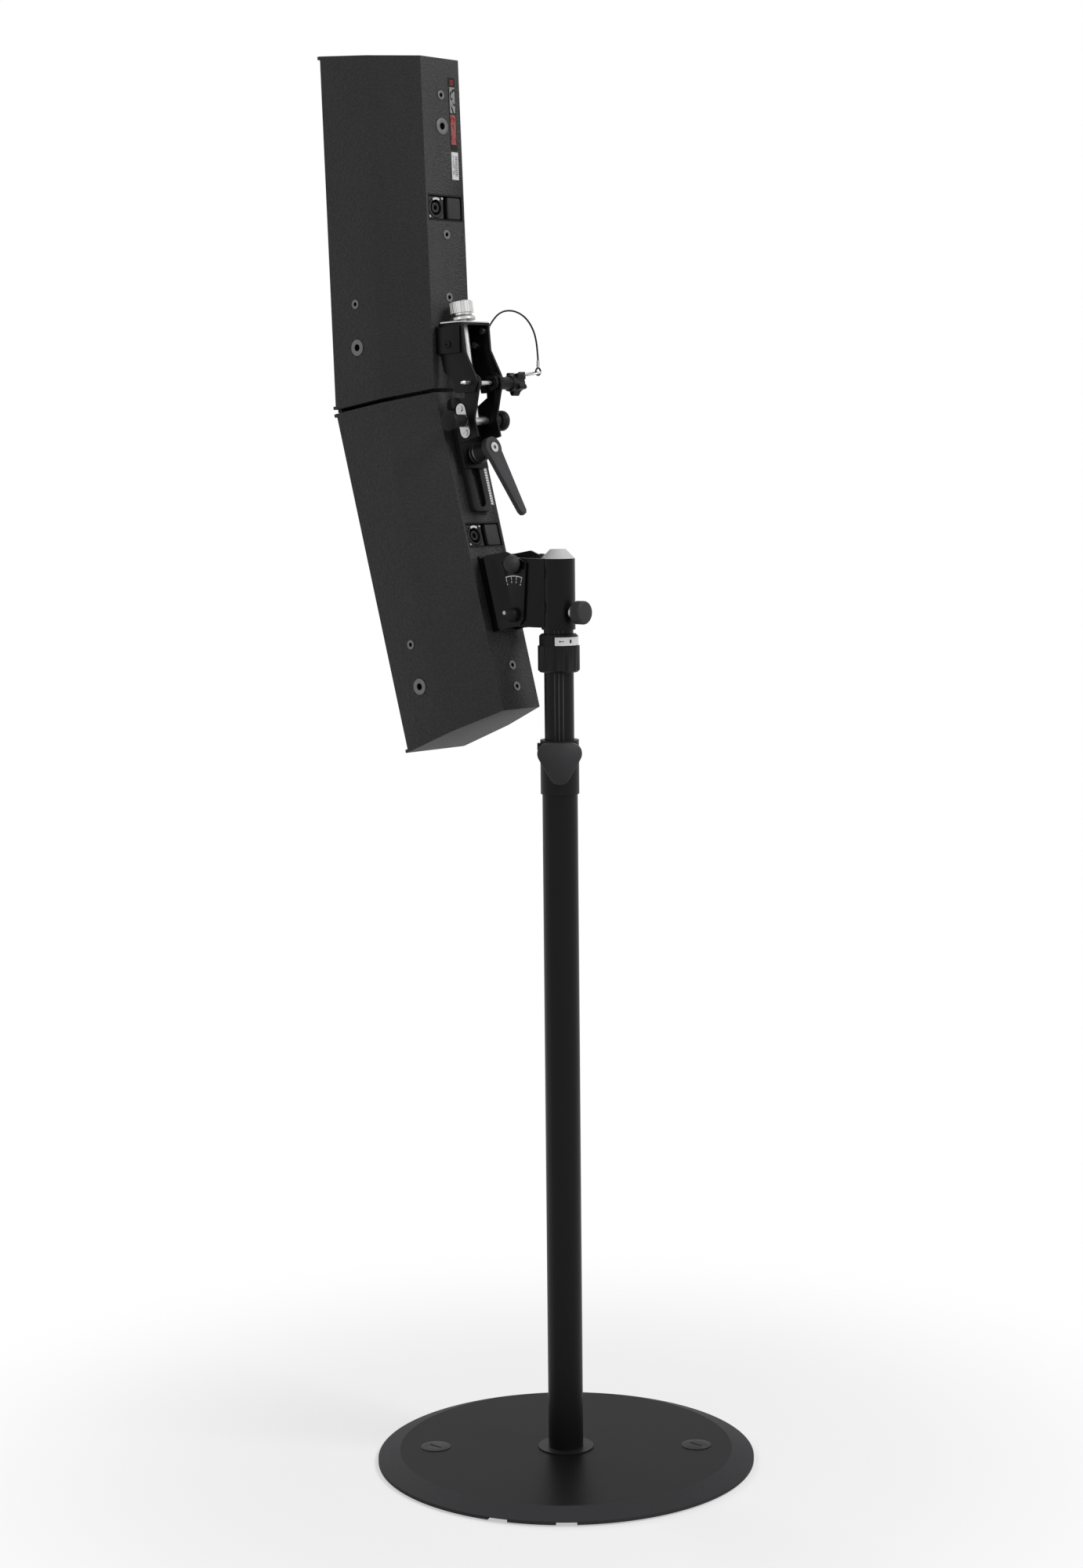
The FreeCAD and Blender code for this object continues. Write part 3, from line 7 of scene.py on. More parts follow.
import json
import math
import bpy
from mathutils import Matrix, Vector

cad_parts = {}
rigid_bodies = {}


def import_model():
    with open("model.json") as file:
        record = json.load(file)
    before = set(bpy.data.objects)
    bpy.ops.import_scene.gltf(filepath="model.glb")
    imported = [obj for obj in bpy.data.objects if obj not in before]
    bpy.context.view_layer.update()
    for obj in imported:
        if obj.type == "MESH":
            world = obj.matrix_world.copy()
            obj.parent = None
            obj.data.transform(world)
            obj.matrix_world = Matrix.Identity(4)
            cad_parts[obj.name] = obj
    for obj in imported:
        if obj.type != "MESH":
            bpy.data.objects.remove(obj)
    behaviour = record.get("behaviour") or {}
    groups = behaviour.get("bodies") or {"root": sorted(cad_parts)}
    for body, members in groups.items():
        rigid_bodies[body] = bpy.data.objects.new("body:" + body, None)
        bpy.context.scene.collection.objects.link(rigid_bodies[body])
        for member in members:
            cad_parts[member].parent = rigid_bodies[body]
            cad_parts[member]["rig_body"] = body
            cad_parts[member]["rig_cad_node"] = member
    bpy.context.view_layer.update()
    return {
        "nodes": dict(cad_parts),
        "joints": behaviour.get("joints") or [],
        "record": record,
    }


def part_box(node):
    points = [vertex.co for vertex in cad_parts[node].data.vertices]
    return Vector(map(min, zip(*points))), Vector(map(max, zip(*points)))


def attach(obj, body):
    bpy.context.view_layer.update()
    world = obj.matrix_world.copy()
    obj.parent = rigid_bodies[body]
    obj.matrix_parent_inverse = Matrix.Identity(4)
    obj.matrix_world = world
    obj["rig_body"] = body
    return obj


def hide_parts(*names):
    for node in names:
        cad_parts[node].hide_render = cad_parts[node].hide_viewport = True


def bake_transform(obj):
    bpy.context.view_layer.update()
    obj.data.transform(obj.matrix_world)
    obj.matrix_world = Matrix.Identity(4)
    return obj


bl_info = {
    "name": "Column Loudspeaker Finish",
    "version": (1, 0, 0),
    "blender": (4, 5, 0),
    "location": "View3D > Sidebar > Loudspeaker",
    "description": "Finishes a column loudspeaker on a pole stand and sets a studio round it",
    "category": "Object",
}

import bmesh
import bpy
from mathutils import Matrix, Vector

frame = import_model()
NODES = frame["nodes"]
MOUNTS = {mount["name"]: mount for mount in frame["record"]["mounts"]}
JOINTS = {joint["name"]: joint for joint in frame["joints"]}
BODY_OF = {name: body for body, names in frame["record"]["behaviour"]["bodies"].items()
           for name in names}
SLOT_OF = {part["node"]: part["material_slot"] for part in frame["record"]["subparts"]}
CABINETS = ("upper", "lower")

PIVOT_DOT_RADIUS = 0.0024
PIVOT_DOT_CENTRE = (-0.0150, 0.0060)        # out and up from the pivot, in the lower cabinet's frame
PLATE_HALF = 0.0128                         # half the side of an outlet's square face plate
LATCH_SWING = 0.55                          # radians each side of the top, for the outlet's latch

CORD_ROUTE = ((-0.031, -0.133, 1.363), (-0.039, -0.131, 1.375), (-0.053, -0.128, 1.3825),
              (-0.069, -0.124, 1.382), (-0.083, -0.1195, 1.374), (-0.0925, -0.116, 1.359),
              (-0.0965, -0.1145, 1.341), (-0.0972, -0.114, 1.323))


# ---------------------------------------------------------------- settings

class SpeakerCabinetSettings(bpy.types.PropertyGroup):
    """The cabinets' paint, edges and grilles."""
    paint: bpy.props.FloatVectorProperty(
        name="Paint", description="Colour of the textured cabinet paint", subtype="COLOR",
        default=(0.036, 0.036, 0.037))
    edge_radius: bpy.props.FloatProperty(
        name="Edge radius", description="Rounding of the cabinets' outer edges",
        default=0.0035, unit="LENGTH")
    texture_pitch: bpy.props.FloatProperty(
        name="Texture pitch", description="Distance between the lumps in the cabinet paint",
        default=0.0029, unit="LENGTH")
    insert_depth: bpy.props.FloatProperty(
        name="Side insert depth", description="From the back face to the large side insert",
        default=0.108, unit="LENGTH")
    insert_rise: bpy.props.FloatProperty(
        name="Side insert height", description="Height of the large side insert on its cabinet",
        default=-0.14, unit="LENGTH")
    hole_pitch: bpy.props.FloatProperty(
        name="Grille pitch", description="Distance between the grille's holes",
        default=0.004, unit="LENGTH")
    hole_radius: bpy.props.FloatProperty(
        name="Grille hole", description="Radius of a hole in the grille",
        default=0.00145, unit="LENGTH")
    grille_bulge: bpy.props.FloatProperty(
        name="Grille bulge", description="How far the middle of the grille stands out",
        default=0.0045, unit="LENGTH")


class SpeakerStandSettings(bpy.types.PropertyGroup):
    """The stand's, the brackets' and the fittings' colours."""
    powder: bpy.props.FloatVectorProperty(
        name="Powder coat", description="Colour of the powder-coated steel", subtype="COLOR",
        default=(0.0035, 0.0035, 0.0037))
    plastic: bpy.props.FloatVectorProperty(
        name="Plastic", description="Colour of the moulded knobs", subtype="COLOR",
        default=(0.0085, 0.0085, 0.009))
    cap: bpy.props.FloatVectorProperty(
        name="Cap", description="Colour of the cap on the socket", subtype="COLOR",
        default=(0.50, 0.50, 0.505))
    zinc: bpy.props.FloatVectorProperty(
        name="Zinc", description="Colour of the plated steel", subtype="COLOR",
        default=(0.48, 0.48, 0.475))
    print_white: bpy.props.FloatVectorProperty(
        name="Print", description="Colour of printed marks", subtype="COLOR",
        default=(0.72, 0.72, 0.72))


class SpeakerCordSettings(bpy.types.PropertyGroup):
    """The pin's safety cord."""
    length: bpy.props.FloatProperty(
        name="Cord length", description="Length of the cord between its ferrules",
        default=0.1175, unit="LENGTH")
    diameter: bpy.props.FloatProperty(
        name="Cord diameter", description="Diameter over the coating",
        default=0.0022, unit="LENGTH")


class SpeakerStageSettings(bpy.types.PropertyGroup):
    """The camera and the studio."""
    distance: bpy.props.FloatProperty(
        name="Distance", description="From the pole to the camera, along the floor",
        default=3.3884, unit="LENGTH")
    height: bpy.props.FloatProperty(
        name="Height", description="Camera height", default=1.2135, unit="LENGTH")
    bearing: bpy.props.FloatProperty(
        name="Bearing", description="Direction of the camera from the pole",
        default=0.71766, unit="ROTATION")
    pitch: bpy.props.FloatProperty(
        name="Pitch", description="How far the camera looks down", default=0.11463,
        unit="ROTATION")
    pan: bpy.props.FloatProperty(
        name="Pan", description="How far the camera turns from the pole", default=-0.00644,
        unit="ROTATION")
    roll: bpy.props.FloatProperty(
        name="Roll", description="How far the camera leans", default=-0.00986,
        unit="ROTATION")
    lens: bpy.props.FloatProperty(
        name="Lens", description="Focal length on a 36 mm sensor, in millimetres",
        default=66.29)


# ---------------------------------------------------------------- shader maths

class Wire:
    """A socket that takes part in Python sums: each operator adds one Math node."""

    def __init__(self, finish, socket):
        self.finish = finish
        self.socket = socket

    def maths(self, operation, *values):
        return self.finish.node("ShaderNodeMath", {"operation": operation},
                                dict(enumerate(values)))

    def __add__(self, other):
        return self.maths("ADD", self, other)

    def __sub__(self, other):
        return self.maths("SUBTRACT", self, other)

    def __rsub__(self, other):
        return self.maths("SUBTRACT", other, self)

    def __mul__(self, other):
        return self.maths("MULTIPLY", self, other)

    def __truediv__(self, other):
        return self.maths("DIVIDE", self, other)

    def __gt__(self, other):
        return self.maths("GREATER_THAN", self, other)

    def __lt__(self, other):
        return self.maths("LESS_THAN", self, other)

    def size(self):
        return self.maths("ABSOLUTE", self)

    def wave(self, pitch):
        """The place within a repeat of that pitch, from 0 to 1."""
        return (self / pitch).maths("FRACT", self / pitch)

    __radd__ = __add__
    __rmul__ = __mul__


class Finish:
    """One material while it is being made."""

    def __init__(self, name, colour, roughness, metallic=0.0, specular=0.14):
        self.material = bpy.data.materials.new(name)
        self.material.use_nodes = True
        self.tree = self.material.node_tree
        self.shader = self.tree.nodes["Principled BSDF"]
        self.place = None
        self.set("Base Color", (*colour, 1.0))
        self.set("Roughness", roughness)
        self.set("Metallic", metallic)
        self.set("Specular IOR Level", specular)

    def node(self, kind, settings=None, sockets=None, output=0):
        """A node of that kind: its settings first, then its sockets' values and links."""
        made = self.tree.nodes.new(kind)
        for name, value in (settings or {}).items():
            if name == "stops":
                self.stops(made.color_ramp, value)
            else:
                setattr(made, name, value)
        for name, value in (sockets or {}).items():
            self.plug(made.inputs[name], value)
        return Wire(self, made.outputs[output])

    def stops(self, ramp, stops):
        """A ramp's stops, each a place and a grey level."""
        for element, (place, level) in zip(ramp.elements, stops):
            element.position = place
            element.color = (level, level, level, 1.0)

    def plug(self, socket, value):
        if isinstance(value, Wire):
            self.tree.links.new(value.socket, socket)
        else:
            socket.default_value = value

    def set(self, name, value):
        self.plug(self.shader.inputs[name], value)

    def where(self, turn=0.0, origin=(0, 0, 0), stretch=(1, 1, 1)):
        """The place on the piece, seen in a frame tilted about x, as a vector."""
        place = self.node("ShaderNodeTexCoord", output="Object")
        if turn or any(origin):
            shifted = self.node("ShaderNodeVectorMath", {"operation": "SUBTRACT"},
                                {0: place, 1: origin})
            place = self.node("ShaderNodeVectorRotate", {"rotation_type": "X_AXIS"},
                              {"Vector": shifted, "Angle": -turn})
        if stretch != (1, 1, 1):
            place = self.node("ShaderNodeVectorMath", {"operation": "MULTIPLY"},
                              {0: place, 1: stretch})
        return place

    def parts(self, place):
        """The three sides of a place."""
        return [self.node("ShaderNodeSeparateXYZ", None, {0: place}, side) for side in range(3)]

    def noise(self, pitch, detail=2.0, place=None, rough=0.5):
        """Grey noise whose lumps are about that far apart."""
        return self.node("ShaderNodeTexNoise", None,
                         {"Vector": place or self.where(), "Scale": 1 / pitch,
                          "Detail": detail, "Roughness": rough})

    def blend(self, factor, first, second):
        """Between two colours by a factor."""
        return self.node("ShaderNodeMix", {"data_type": "RGBA"},
                         {0: factor, 6: first, 7: second}, 2)

    def tint(self, mask, colour, other):
        self.set("Base Color", self.blend(mask, (*colour, 1.0), (*other, 1.0)))

    def bump(self, height, depth, strength=1.0):
        self.set("Normal", self.node("ShaderNodeBump", None,
                                     {"Height": height, "Distance": depth,
                                      "Strength": strength}))


def shade(colour, factor):
    return tuple(channel * factor for channel in colour)


# ---------------------------------------------------------------- finishes

def textured_paint(settings):
    """Sprayed, lumpy cabinet paint: rounded grains that run together, paler on the grains' tops and
    in broad patches.
    """
    colour = settings.paint
    finish = Finish("textured_paint", colour, 0.55, specular=0.14)
    pitch = settings.texture_pitch
    place = finish.where(stretch=(1.0, 1.0, 1.4))
    lumps = finish.noise(pitch, 1.5, place, 0.42)
    pebbles = finish.node("ShaderNodeTexVoronoi", {"feature": "SMOOTH_F1"},
                          {"Vector": place, "Scale": 0.9 / pitch, "Smoothness": 0.9})
    fine = finish.noise(pitch / 3.2, 1.0)
    patches = finish.noise(0.12, 2.0)
    height = lumps * 0.8 - pebbles * 0.45 + fine * 0.2
    finish.bump(height, 0.0013, 0.9)
    tone = finish.node("ShaderNodeValToRGB", {"stops": ((0.3, 0.0), (0.75, 1.0))},
                       {0: lumps * 0.75 + patches * 0.25})
    finish.tint(tone, shade(colour, 0.78), shade(colour, 1.28))
    finish.set("Roughness", 0.58 - fine * 0.16)
    return finish.material


def powder_coat(name, colour, roughness, grain=0.0011, depth=0.00006):
    """Baked powder: a fine orange peel with a soft gloss."""
    finish = Finish(name, colour, roughness, specular=0.14)
    peel = finish.noise(grain, 2.0)
    broad = finish.noise(0.06, 3.0)
    finish.bump(peel, depth, 0.7)
    finish.tint(broad, shade(colour, 0.85), shade(colour, 1.15))
    finish.set("Roughness", roughness - 0.05 + broad * 0.1)
    return finish.material


def grooved_tube(colour, radius):
    """The inner tube's powder coat, with a pale painted highlight in its guide grooves."""
    finish = Finish("grooved_tube", colour, 0.4)
    x, y, z = finish.parts(finish.where())
    reach = (x * x + y * y).maths("SQRT", x * x + y * y)
    painted_groove_highlight = reach < radius - 0.0002
    peel = finish.noise(0.0011, 2.0)
    finish.bump(peel, 0.00006, 0.7)
    # painted highlight: the guide grooves are painted pale grey where the real tube shows bright
    # glints
    finish.tint(painted_groove_highlight, colour, (0.075, 0.075, 0.075))
    finish.set("Roughness", 0.36 + peel * 0.08)
    return finish.material


def moulded(name, colour, roughness=0.5, grain=0.0007, depth=0.00005):
    """Moulded plastic with a fine eroded grain."""
    finish = Finish(name, colour, roughness, specular=0.14)
    pores = finish.node("ShaderNodeTexVoronoi", {"feature": "SMOOTH_F1"},
                        {"Vector": finish.where(), "Scale": 1 / grain})
    cloud = finish.noise(0.02, 2.0)
    finish.bump(pores, depth, 0.6)
    finish.tint(cloud, shade(colour, 0.88), shade(colour, 1.12))
    finish.set("Roughness", roughness - 0.05 + pores * 0.1)
    return finish.material


def plated(name, colour, roughness, brushing=(30.0, 30.0, 900.0), wear=0.12):
    """Plated or brushed metal: fine drawn lines, with clouded brightness."""
    finish = Finish(name, colour, roughness, metallic=1.0)
    lines = finish.noise(1.0, 3.0, finish.where(stretch=brushing))
    cloud = finish.noise(0.008, 2.0)
    finish.bump(lines, 0.00002, 0.5)
    finish.tint(cloud, shade(colour, 1 - wear), shade(colour, 1 + wear / 2))
    finish.set("Roughness", roughness - 0.06 + lines * 0.12)
    return finish.material


def cast_base(settings):
    """The base: smooth satin on top, with a paler, grainy slope round the rim."""
    colour = settings.powder
    finish = Finish("cast_base", colour, 0.42, specular=0.04)
    x, y, z = finish.parts(finish.where())
    radius = (x * x + y * y).maths("SQRT", x * x + y * y)
    rim = radius > 0.2008
    grain = finish.noise(0.0016, 2.0)
    fine = finish.noise(0.0007, 1.0)
    seam = (radius - 0.0335).size() < 0.0004
    finish.tint(rim, shade(colour, 1.05), shade(colour, 11.0))
    finish.bump(grain * rim + fine * 0.12 - seam * 0.5, 0.0005, 0.8)
    finish.set("Roughness", 0.36 + rim * 0.2 + fine * 0.08)
    return finish.material


def part_blackened(name, zinc, blackened):
    """Plated steel that is black over the stretch where blackened(x, y, z) is 1."""
    finish = Finish(name, zinc, 0.22)
    dark = blackened(*finish.parts(finish.where()))
    cloud = finish.noise(0.006, 2.0)
    plate = finish.blend(cloud, (*shade(zinc, 0.9), 1.0), (*shade(zinc, 1.1), 1.0))
    finish.set("Base Color", finish.blend(dark, plate, (0.008, 0.008, 0.008, 1.0)))
    finish.set("Metallic", 1.0 - dark)
    finish.set("Roughness", 0.22 + dark * 0.25 + cloud * 0.08)
    return finish.material


def plunger_steel(zinc):
    """Plated plunger flanges: their threaded barrels, further out, are blackened."""
    low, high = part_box("plunger_near")
    axis = (low + high) / 2

    def barrel(x, y, z):
        across, up = y - axis.y, z - axis.z
        ring = (across * across + up * up).maths("SQRT", across * across + up * up)
        return (ring < 0.0078) * (x.size() > 0.02265)
    return part_blackened("plunger_steel", zinc, barrel)


def hanger_steel(zinc):
    """Plated nuts, and the black screws outside the hanger's cheeks below the cord's anchor."""
    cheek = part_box("upper_hanger")[1].x - 0.0003
    anchor = CORD_ROUTE[0][2] - 0.0125
    return part_blackened("hanger_steel", zinc, lambda x, y, z: (x.size() > cheek) * (z < anchor))


def eye_steel(zinc):
    """A plated ferrule over the coated loop at the pin's end of the cord."""
    loop_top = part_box("lanyard_eye")[1].z - 0.0082
    return part_blackened("eye_steel", zinc, lambda x, y, z: z < loop_top)


def banded_hub(colour, tilt, origin):
    """The lever's hub: black plastic with two bright collars round it."""
    finish = Finish("banded_hub", colour, 0.4)
    x, y, z = finish.parts(finish.where(tilt, origin))
    collars = ((y - 0.0156).size() < 0.001) + ((y - 0.0206).size() < 0.001)
    pores = finish.noise(0.0007, 2.0)
    finish.bump(pores, 0.00005, 0.5)
    finish.tint(collars, colour, (0.16, 0.16, 0.16))
    finish.set("Metallic", collars * 0.9)
    finish.set("Roughness", 0.45 - collars * 0.12 + pores * 0.06)
    return finish.material


def rubber(name="rubber"):
    finish = Finish(name, (0.012, 0.012, 0.012), 0.8, specular=0.2)
    dust = finish.noise(0.004, 4.0)
    finish.tint(dust, (0.010, 0.010, 0.010), (0.022, 0.022, 0.021))
    finish.bump(dust, 0.0001, 0.5)
    return finish.material


def paper_cone():
    """Coated paper for the drivers' cones, with a fine fibrous grain."""
    finish = Finish("paper_cone", (0.018, 0.018, 0.018), 0.75, specular=0.2)
    fibre = finish.noise(0.0012, 5.0)
    finish.tint(fibre, (0.012, 0.012, 0.012), (0.028, 0.028, 0.027))
    finish.bump(fibre, 0.0002, 0.6)
    return finish.material


def circuit_board():
    finish = Finish("circuit_board", (0.02, 0.09, 0.045), 0.4)
    tracks = finish.noise(0.004, 0.0)
    finish.tint(tracks > 0.52, (0.02, 0.09, 0.045), (0.03, 0.14, 0.07))
    return finish.material


def scale_print(tilt, origin):
    """The white angle strip: ticks every few millimetres on a pale band."""
    finish = Finish("scale_print", (0.62, 0.62, 0.62), 0.4)
    x, y, z = finish.parts(finish.where(tilt, origin))
    across = (x + 0.0225).size()
    tick = (z.wave(0.0032) < 0.3) * (across < 0.0038) * (z < 0.104)
    rule = ((across - 0.0048).size() < 0.0003)
    marks = (tick + rule) > 0.5
    finish.tint(marks, (0.62, 0.62, 0.62), (0.06, 0.06, 0.06))
    finish.set("Roughness", 0.38 + finish.noise(0.003) * 0.1)
    return finish.material


def label_print(tilt, origin):
    """The two labels high on the back: bars for lines of print, squares and a stripe code."""
    black, white, red = (0.012, 0.012, 0.012, 1.0), (0.5, 0.5, 0.5, 1.0), (0.20, 0.022, 0.02, 1.0)
    finish = Finish("label_print", black[:3], 0.35)
    x, y, z = finish.parts(finish.where(tilt, origin))
    side = (x + 0.019).size()
    broken = finish.noise(0.003, 0.0, finish.where(tilt, origin, (1.0, 1.0, 0.45))) > 0.40
    lines = ((x + 0.05).wave(0.0014) < 0.42) * broken * (side < 0.0043)
    words = lines * (z > 0.1315) * (z < 0.162)
    block = (side < 0.0044) * (z > 0.0945) * (z < 0.1295)
    squares = (side < 0.0026) * (z > 0.1645) * (z < 0.1705) * ((z - 0.1675).size() > 0.0004)
    plate = finish.blend(words, black, white)
    plate = finish.blend((block + squares) > 0.5, plate, red)
    plate = finish.blend(block * lines, plate, (0.30, 0.16, 0.15, 1.0))
    bars = (z.wave(0.0016) < 0.5) * (x < -0.0200) * (x > -0.0243) * (z > 0.057) * (z < 0.0815)
    notes = lines * (x > -0.0192) * (x < -0.0150) * (z > 0.057) * (z < 0.0815)
    tag = finish.blend((bars + notes) > 0.5, (0.55, 0.55, 0.55, 1.0), (0.02, 0.02, 0.02, 1.0))
    finish.set("Base Color", finish.blend(z < 0.0867, plate, tag))
    finish.set("Roughness", 0.3 + finish.noise(0.004) * 0.1)
    return finish.material


def collar_print(height):
    """The silver band on the twist collar, with an arrow that shows the closing turn."""
    finish = Finish("collar_print", (0.62, 0.62, 0.61), 0.35, metallic=0.35)
    x, y, z = finish.parts(finish.where())
    angle = y.maths("ARCTAN2", y, x)
    rise = (z - height).size()
    shaft = (rise < 0.00045) * (angle > 0.79) * (angle < 0.985)
    head = (rise < (angle - 0.725) * 0.022) * (angle < 0.80)
    pad = (rise < 0.0021) * ((angle - 1.36).size() < 0.06)
    finish.tint((shaft + head + pad) > 0.5, (0.62, 0.62, 0.61), (0.02, 0.02, 0.02))
    finish.set("Roughness", 0.3 + finish.noise(0.002) * 0.12)
    return finish.material


def plain_ink(name, colour):
    finish = Finish(name, colour, 0.45)
    finish.set("Roughness", 0.4 + finish.noise(0.001) * 0.15)
    return finish.material


# ---------------------------------------------------------------- frames and mesh helpers

def cabinet_frame(which):
    """A cabinet's frame as a matrix, worked out from its large side insert's mount."""
    sizes = bpy.context.scene.speaker_cabinet
    across = Vector((1, 0, 0))
    if which == "upper":
        out = Vector(MOUNTS["upper_back_m10"]["axis"]).normalized()
    else:
        out = Vector(JOINTS["link_slide"]["axis"]).normalized().cross(across)
    along = across.cross(out)
    insert = Vector(MOUNTS[which + "_near_m10"]["pos_m"])
    origin = insert + out * sizes.insert_depth - along * sizes.insert_rise
    origin.x = 0.0
    return Matrix.Translation(origin) @ Matrix((across, out, along)).transposed().to_4x4()


def cabinet_tilt(which):
    placed = cabinet_frame(which)
    return math.atan2(placed[2][1], placed[1][1])


def alone(piece=None):
    """Nothing selected but that piece."""
    bpy.ops.object.select_all(action="DESELECT")
    if piece is not None:
        piece.select_set(True)
        bpy.context.view_layer.objects.active = piece


def newest(name):
    piece = bpy.context.object
    piece.name = name
    piece.data.name = name
    return piece


def apply_modifiers(piece):
    alone(piece)
    for modifier in list(piece.modifiers):
        bpy.ops.object.modifier_apply(modifier=modifier.name)


def select_faces(piece, wanted):
    """Select the faces for which wanted(centre, normal) holds, in edit mode."""
    bpy.ops.object.mode_set(mode="OBJECT")
    for part in (piece.data.vertices, piece.data.edges):
        for item in part:
            item.select = False
    for face in piece.data.polygons:
        face.select = wanted(face.center, face.normal)
    bpy.ops.object.mode_set(mode="EDIT")
    bpy.ops.mesh.select_mode(type="FACE")


def settle(piece, placed, body, finish, smooth=30.0):
    """Put a piece in its place for good, and give it its body, slot and finish."""
    if bpy.context.object.mode == "EDIT":
        bpy.ops.object.mode_set(mode="OBJECT")
    alone(piece)
    piece.matrix_world = placed @ piece.matrix_world
    bpy.ops.object.transform_apply(location=True, rotation=True, scale=True)
    piece.data.materials.clear()
    piece.data.materials.append(finish)
    bpy.ops.object.shade_smooth_by_angle(angle=math.radians(smooth))
    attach(piece, body)
    return piece


def clean_copy(name):
    """A copy of a CAD node with its triangles merged, ready to be rounded."""
    node = NODES[name]
    alone()
    piece = node.copy()
    piece.data = node.data.copy()
    piece.name = name + "_finished"
    piece.parent = None
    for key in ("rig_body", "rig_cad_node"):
        if key in piece:
            del piece[key]
    bpy.context.scene.collection.objects.link(piece)
    piece.matrix_world = Matrix.Identity(4)
    alone(piece)
    bpy.ops.object.mode_set(mode="EDIT")
    bpy.ops.mesh.select_all(action="SELECT")
    bpy.ops.mesh.remove_doubles(threshold=0.00002)
    bpy.ops.mesh.dissolve_limited(angle_limit=math.radians(0.4), delimit=set())
    bpy.ops.object.mode_set(mode="OBJECT")
    return piece


def sharp_edges(piece, least, angle, wanted=None):
    """Select the long edges where two faces meet at more than that angle."""
    alone(piece)
    bpy.ops.object.mode_set(mode="EDIT")
    bpy.ops.mesh.select_mode(type="EDGE")
    mesh = bmesh.from_edit_mesh(piece.data)
    for edge in mesh.edges:
        sharp = len(edge.link_faces) == 2 and edge.calc_face_angle(0.0) > math.radians(angle)
        inside = wanted is None or wanted((edge.verts[0].co + edge.verts[1].co) / 2)
        edge.select_set(sharp and edge.calc_length() > least and inside)
    bmesh.update_edit_mesh(piece.data)


def rounded(name, radius, finish, least=0.0, angle=35.0, segments=3, wanted=None):
    """A CAD node with its sharp edges rounded over: it stands for the node."""
    piece = clean_copy(name)
    sharp_edges(piece, least, angle, wanted)
    bpy.ops.mesh.bevel(offset=radius, segments=segments, affect="EDGES", clamp_overlap=True)
    bpy.ops.object.mode_set(mode="OBJECT")
    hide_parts(name)
    return settle(piece, Matrix.Identity(4), BODY_OF[name], finish, 40.0)


def melted(name, voxel, passes, finish):
    """A CAD node remade as one soft moulding, its corners run together."""
    piece = clean_copy(name)
    remesh = piece.modifiers.new("Remesh", "REMESH")
    remesh.mode = "VOXEL"
    remesh.voxel_size = voxel
    smooth = piece.modifiers.new("Smooth", "SMOOTH")
    smooth.iterations = passes
    smooth.factor = 0.5
    apply_modifiers(piece)
    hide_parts(name)
    return settle(piece, Matrix.Identity(4), BODY_OF[name], finish, 180.0)


def paint_node(name, finish):
    """A CAD node keeps its shape and takes a finish."""
    materials = NODES[name].data.materials
    if materials:
        for index in range(len(materials)):
            materials[index] = finish
    else:
        materials.append(finish)


FINISHES = {}


def make_finishes():
    cabinet = bpy.context.scene.speaker_cabinet
    stand = bpy.context.scene.speaker_stand
    frames = {which: cabinet_frame(which) for which in CABINETS}
    tilts = {which: cabinet_tilt(which) for which in CABINETS}
    powder, plastic, zinc = tuple(stand.powder), tuple(stand.plastic), tuple(stand.zinc)
    FINISHES.update({
        "cabinet_paint": textured_paint(cabinet),
        "cast_black": cast_base(stand),
        "rubber": rubber(),
        "black_tube": powder_coat("tube_paint", shade(powder, 1.1), 0.4),
        "grooved_tube": grooved_tube(shade(powder, 1.1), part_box("upper_tube")[1].x),
        "black_bracket": powder_coat("bracket_paint", powder, 0.36),
        "black_plastic": moulded("black_plastic", shade(plastic, 0.75), 0.46),
        "knob_plastic": moulded("knob_plastic", shade(plastic, 4.2), 0.55),
        "grey_plastic": moulded("grey_plastic", tuple(stand.cap), 0.55, 0.0005, 0.00002),
        "steel": plated("zinc_steel", zinc, 0.34),
        "bright_steel": plated("bright_steel", shade(zinc, 1.1), 0.3, wear=0.08),
        "plunger_steel": plunger_steel(zinc),
        "dark_steel": plated("dark_steel", (0.14, 0.14, 0.145), 0.42),
        "outlet_plastic": moulded("outlet_plastic", shade(plastic, 3.6), 0.5),
        "hanger_steel": hanger_steel(zinc),
        "eye_steel": eye_steel(zinc),
        "banded_hub": banded_hub(shade(plastic, 0.75), tilts["lower"],
                                 tuple(frames["lower"].translation)),
        "rail_steel": powder_coat("rail_paint", shade(powder, 5.5), 0.38),
        "grille_steel": powder_coat("grille_paint", shade(powder, 1.4), 0.45, 0.0008),
        "paper_cone": paper_cone(),
        "board": circuit_board(),
        "label_white": scale_print(tilts["lower"], tuple(frames["lower"].translation)),
        "label_black": label_print(tilts["upper"], tuple(frames["upper"].translation)),
        "collar_print": collar_print(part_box("lock_collar")[1].z - 0.0082),
        "ink": plain_ink("white_ink", tuple(stand.print_white)),
        "cord": moulded("cord_coating", (0.012, 0.012, 0.012), 0.4, 0.0006, 0.00008),
    })


# ---------------------------------------------------------------- operators

class SPEAKER_OT_finishes(bpy.types.Operator):
    """Make every finish and give it to the CAD nodes that keep their shape"""
    bl_idname = "speaker.finishes"
    bl_label = "Finishes"

    def execute(self, context):
        make_finishes()
        for name in NODES:
            paint_node(name, FINISHES[SLOT_OF[name]])
        for name, finish in (("plunger_plates", "plunger_steel"), ("lever_hub", "banded_hub"),
                             ("hanger_screws", "hanger_steel"), ("lanyard_eye", "eye_steel"),
                             ("upper_tube", "grooved_tube")):
            paint_node(name, FINISHES[finish])
        return {"FINISHED"}


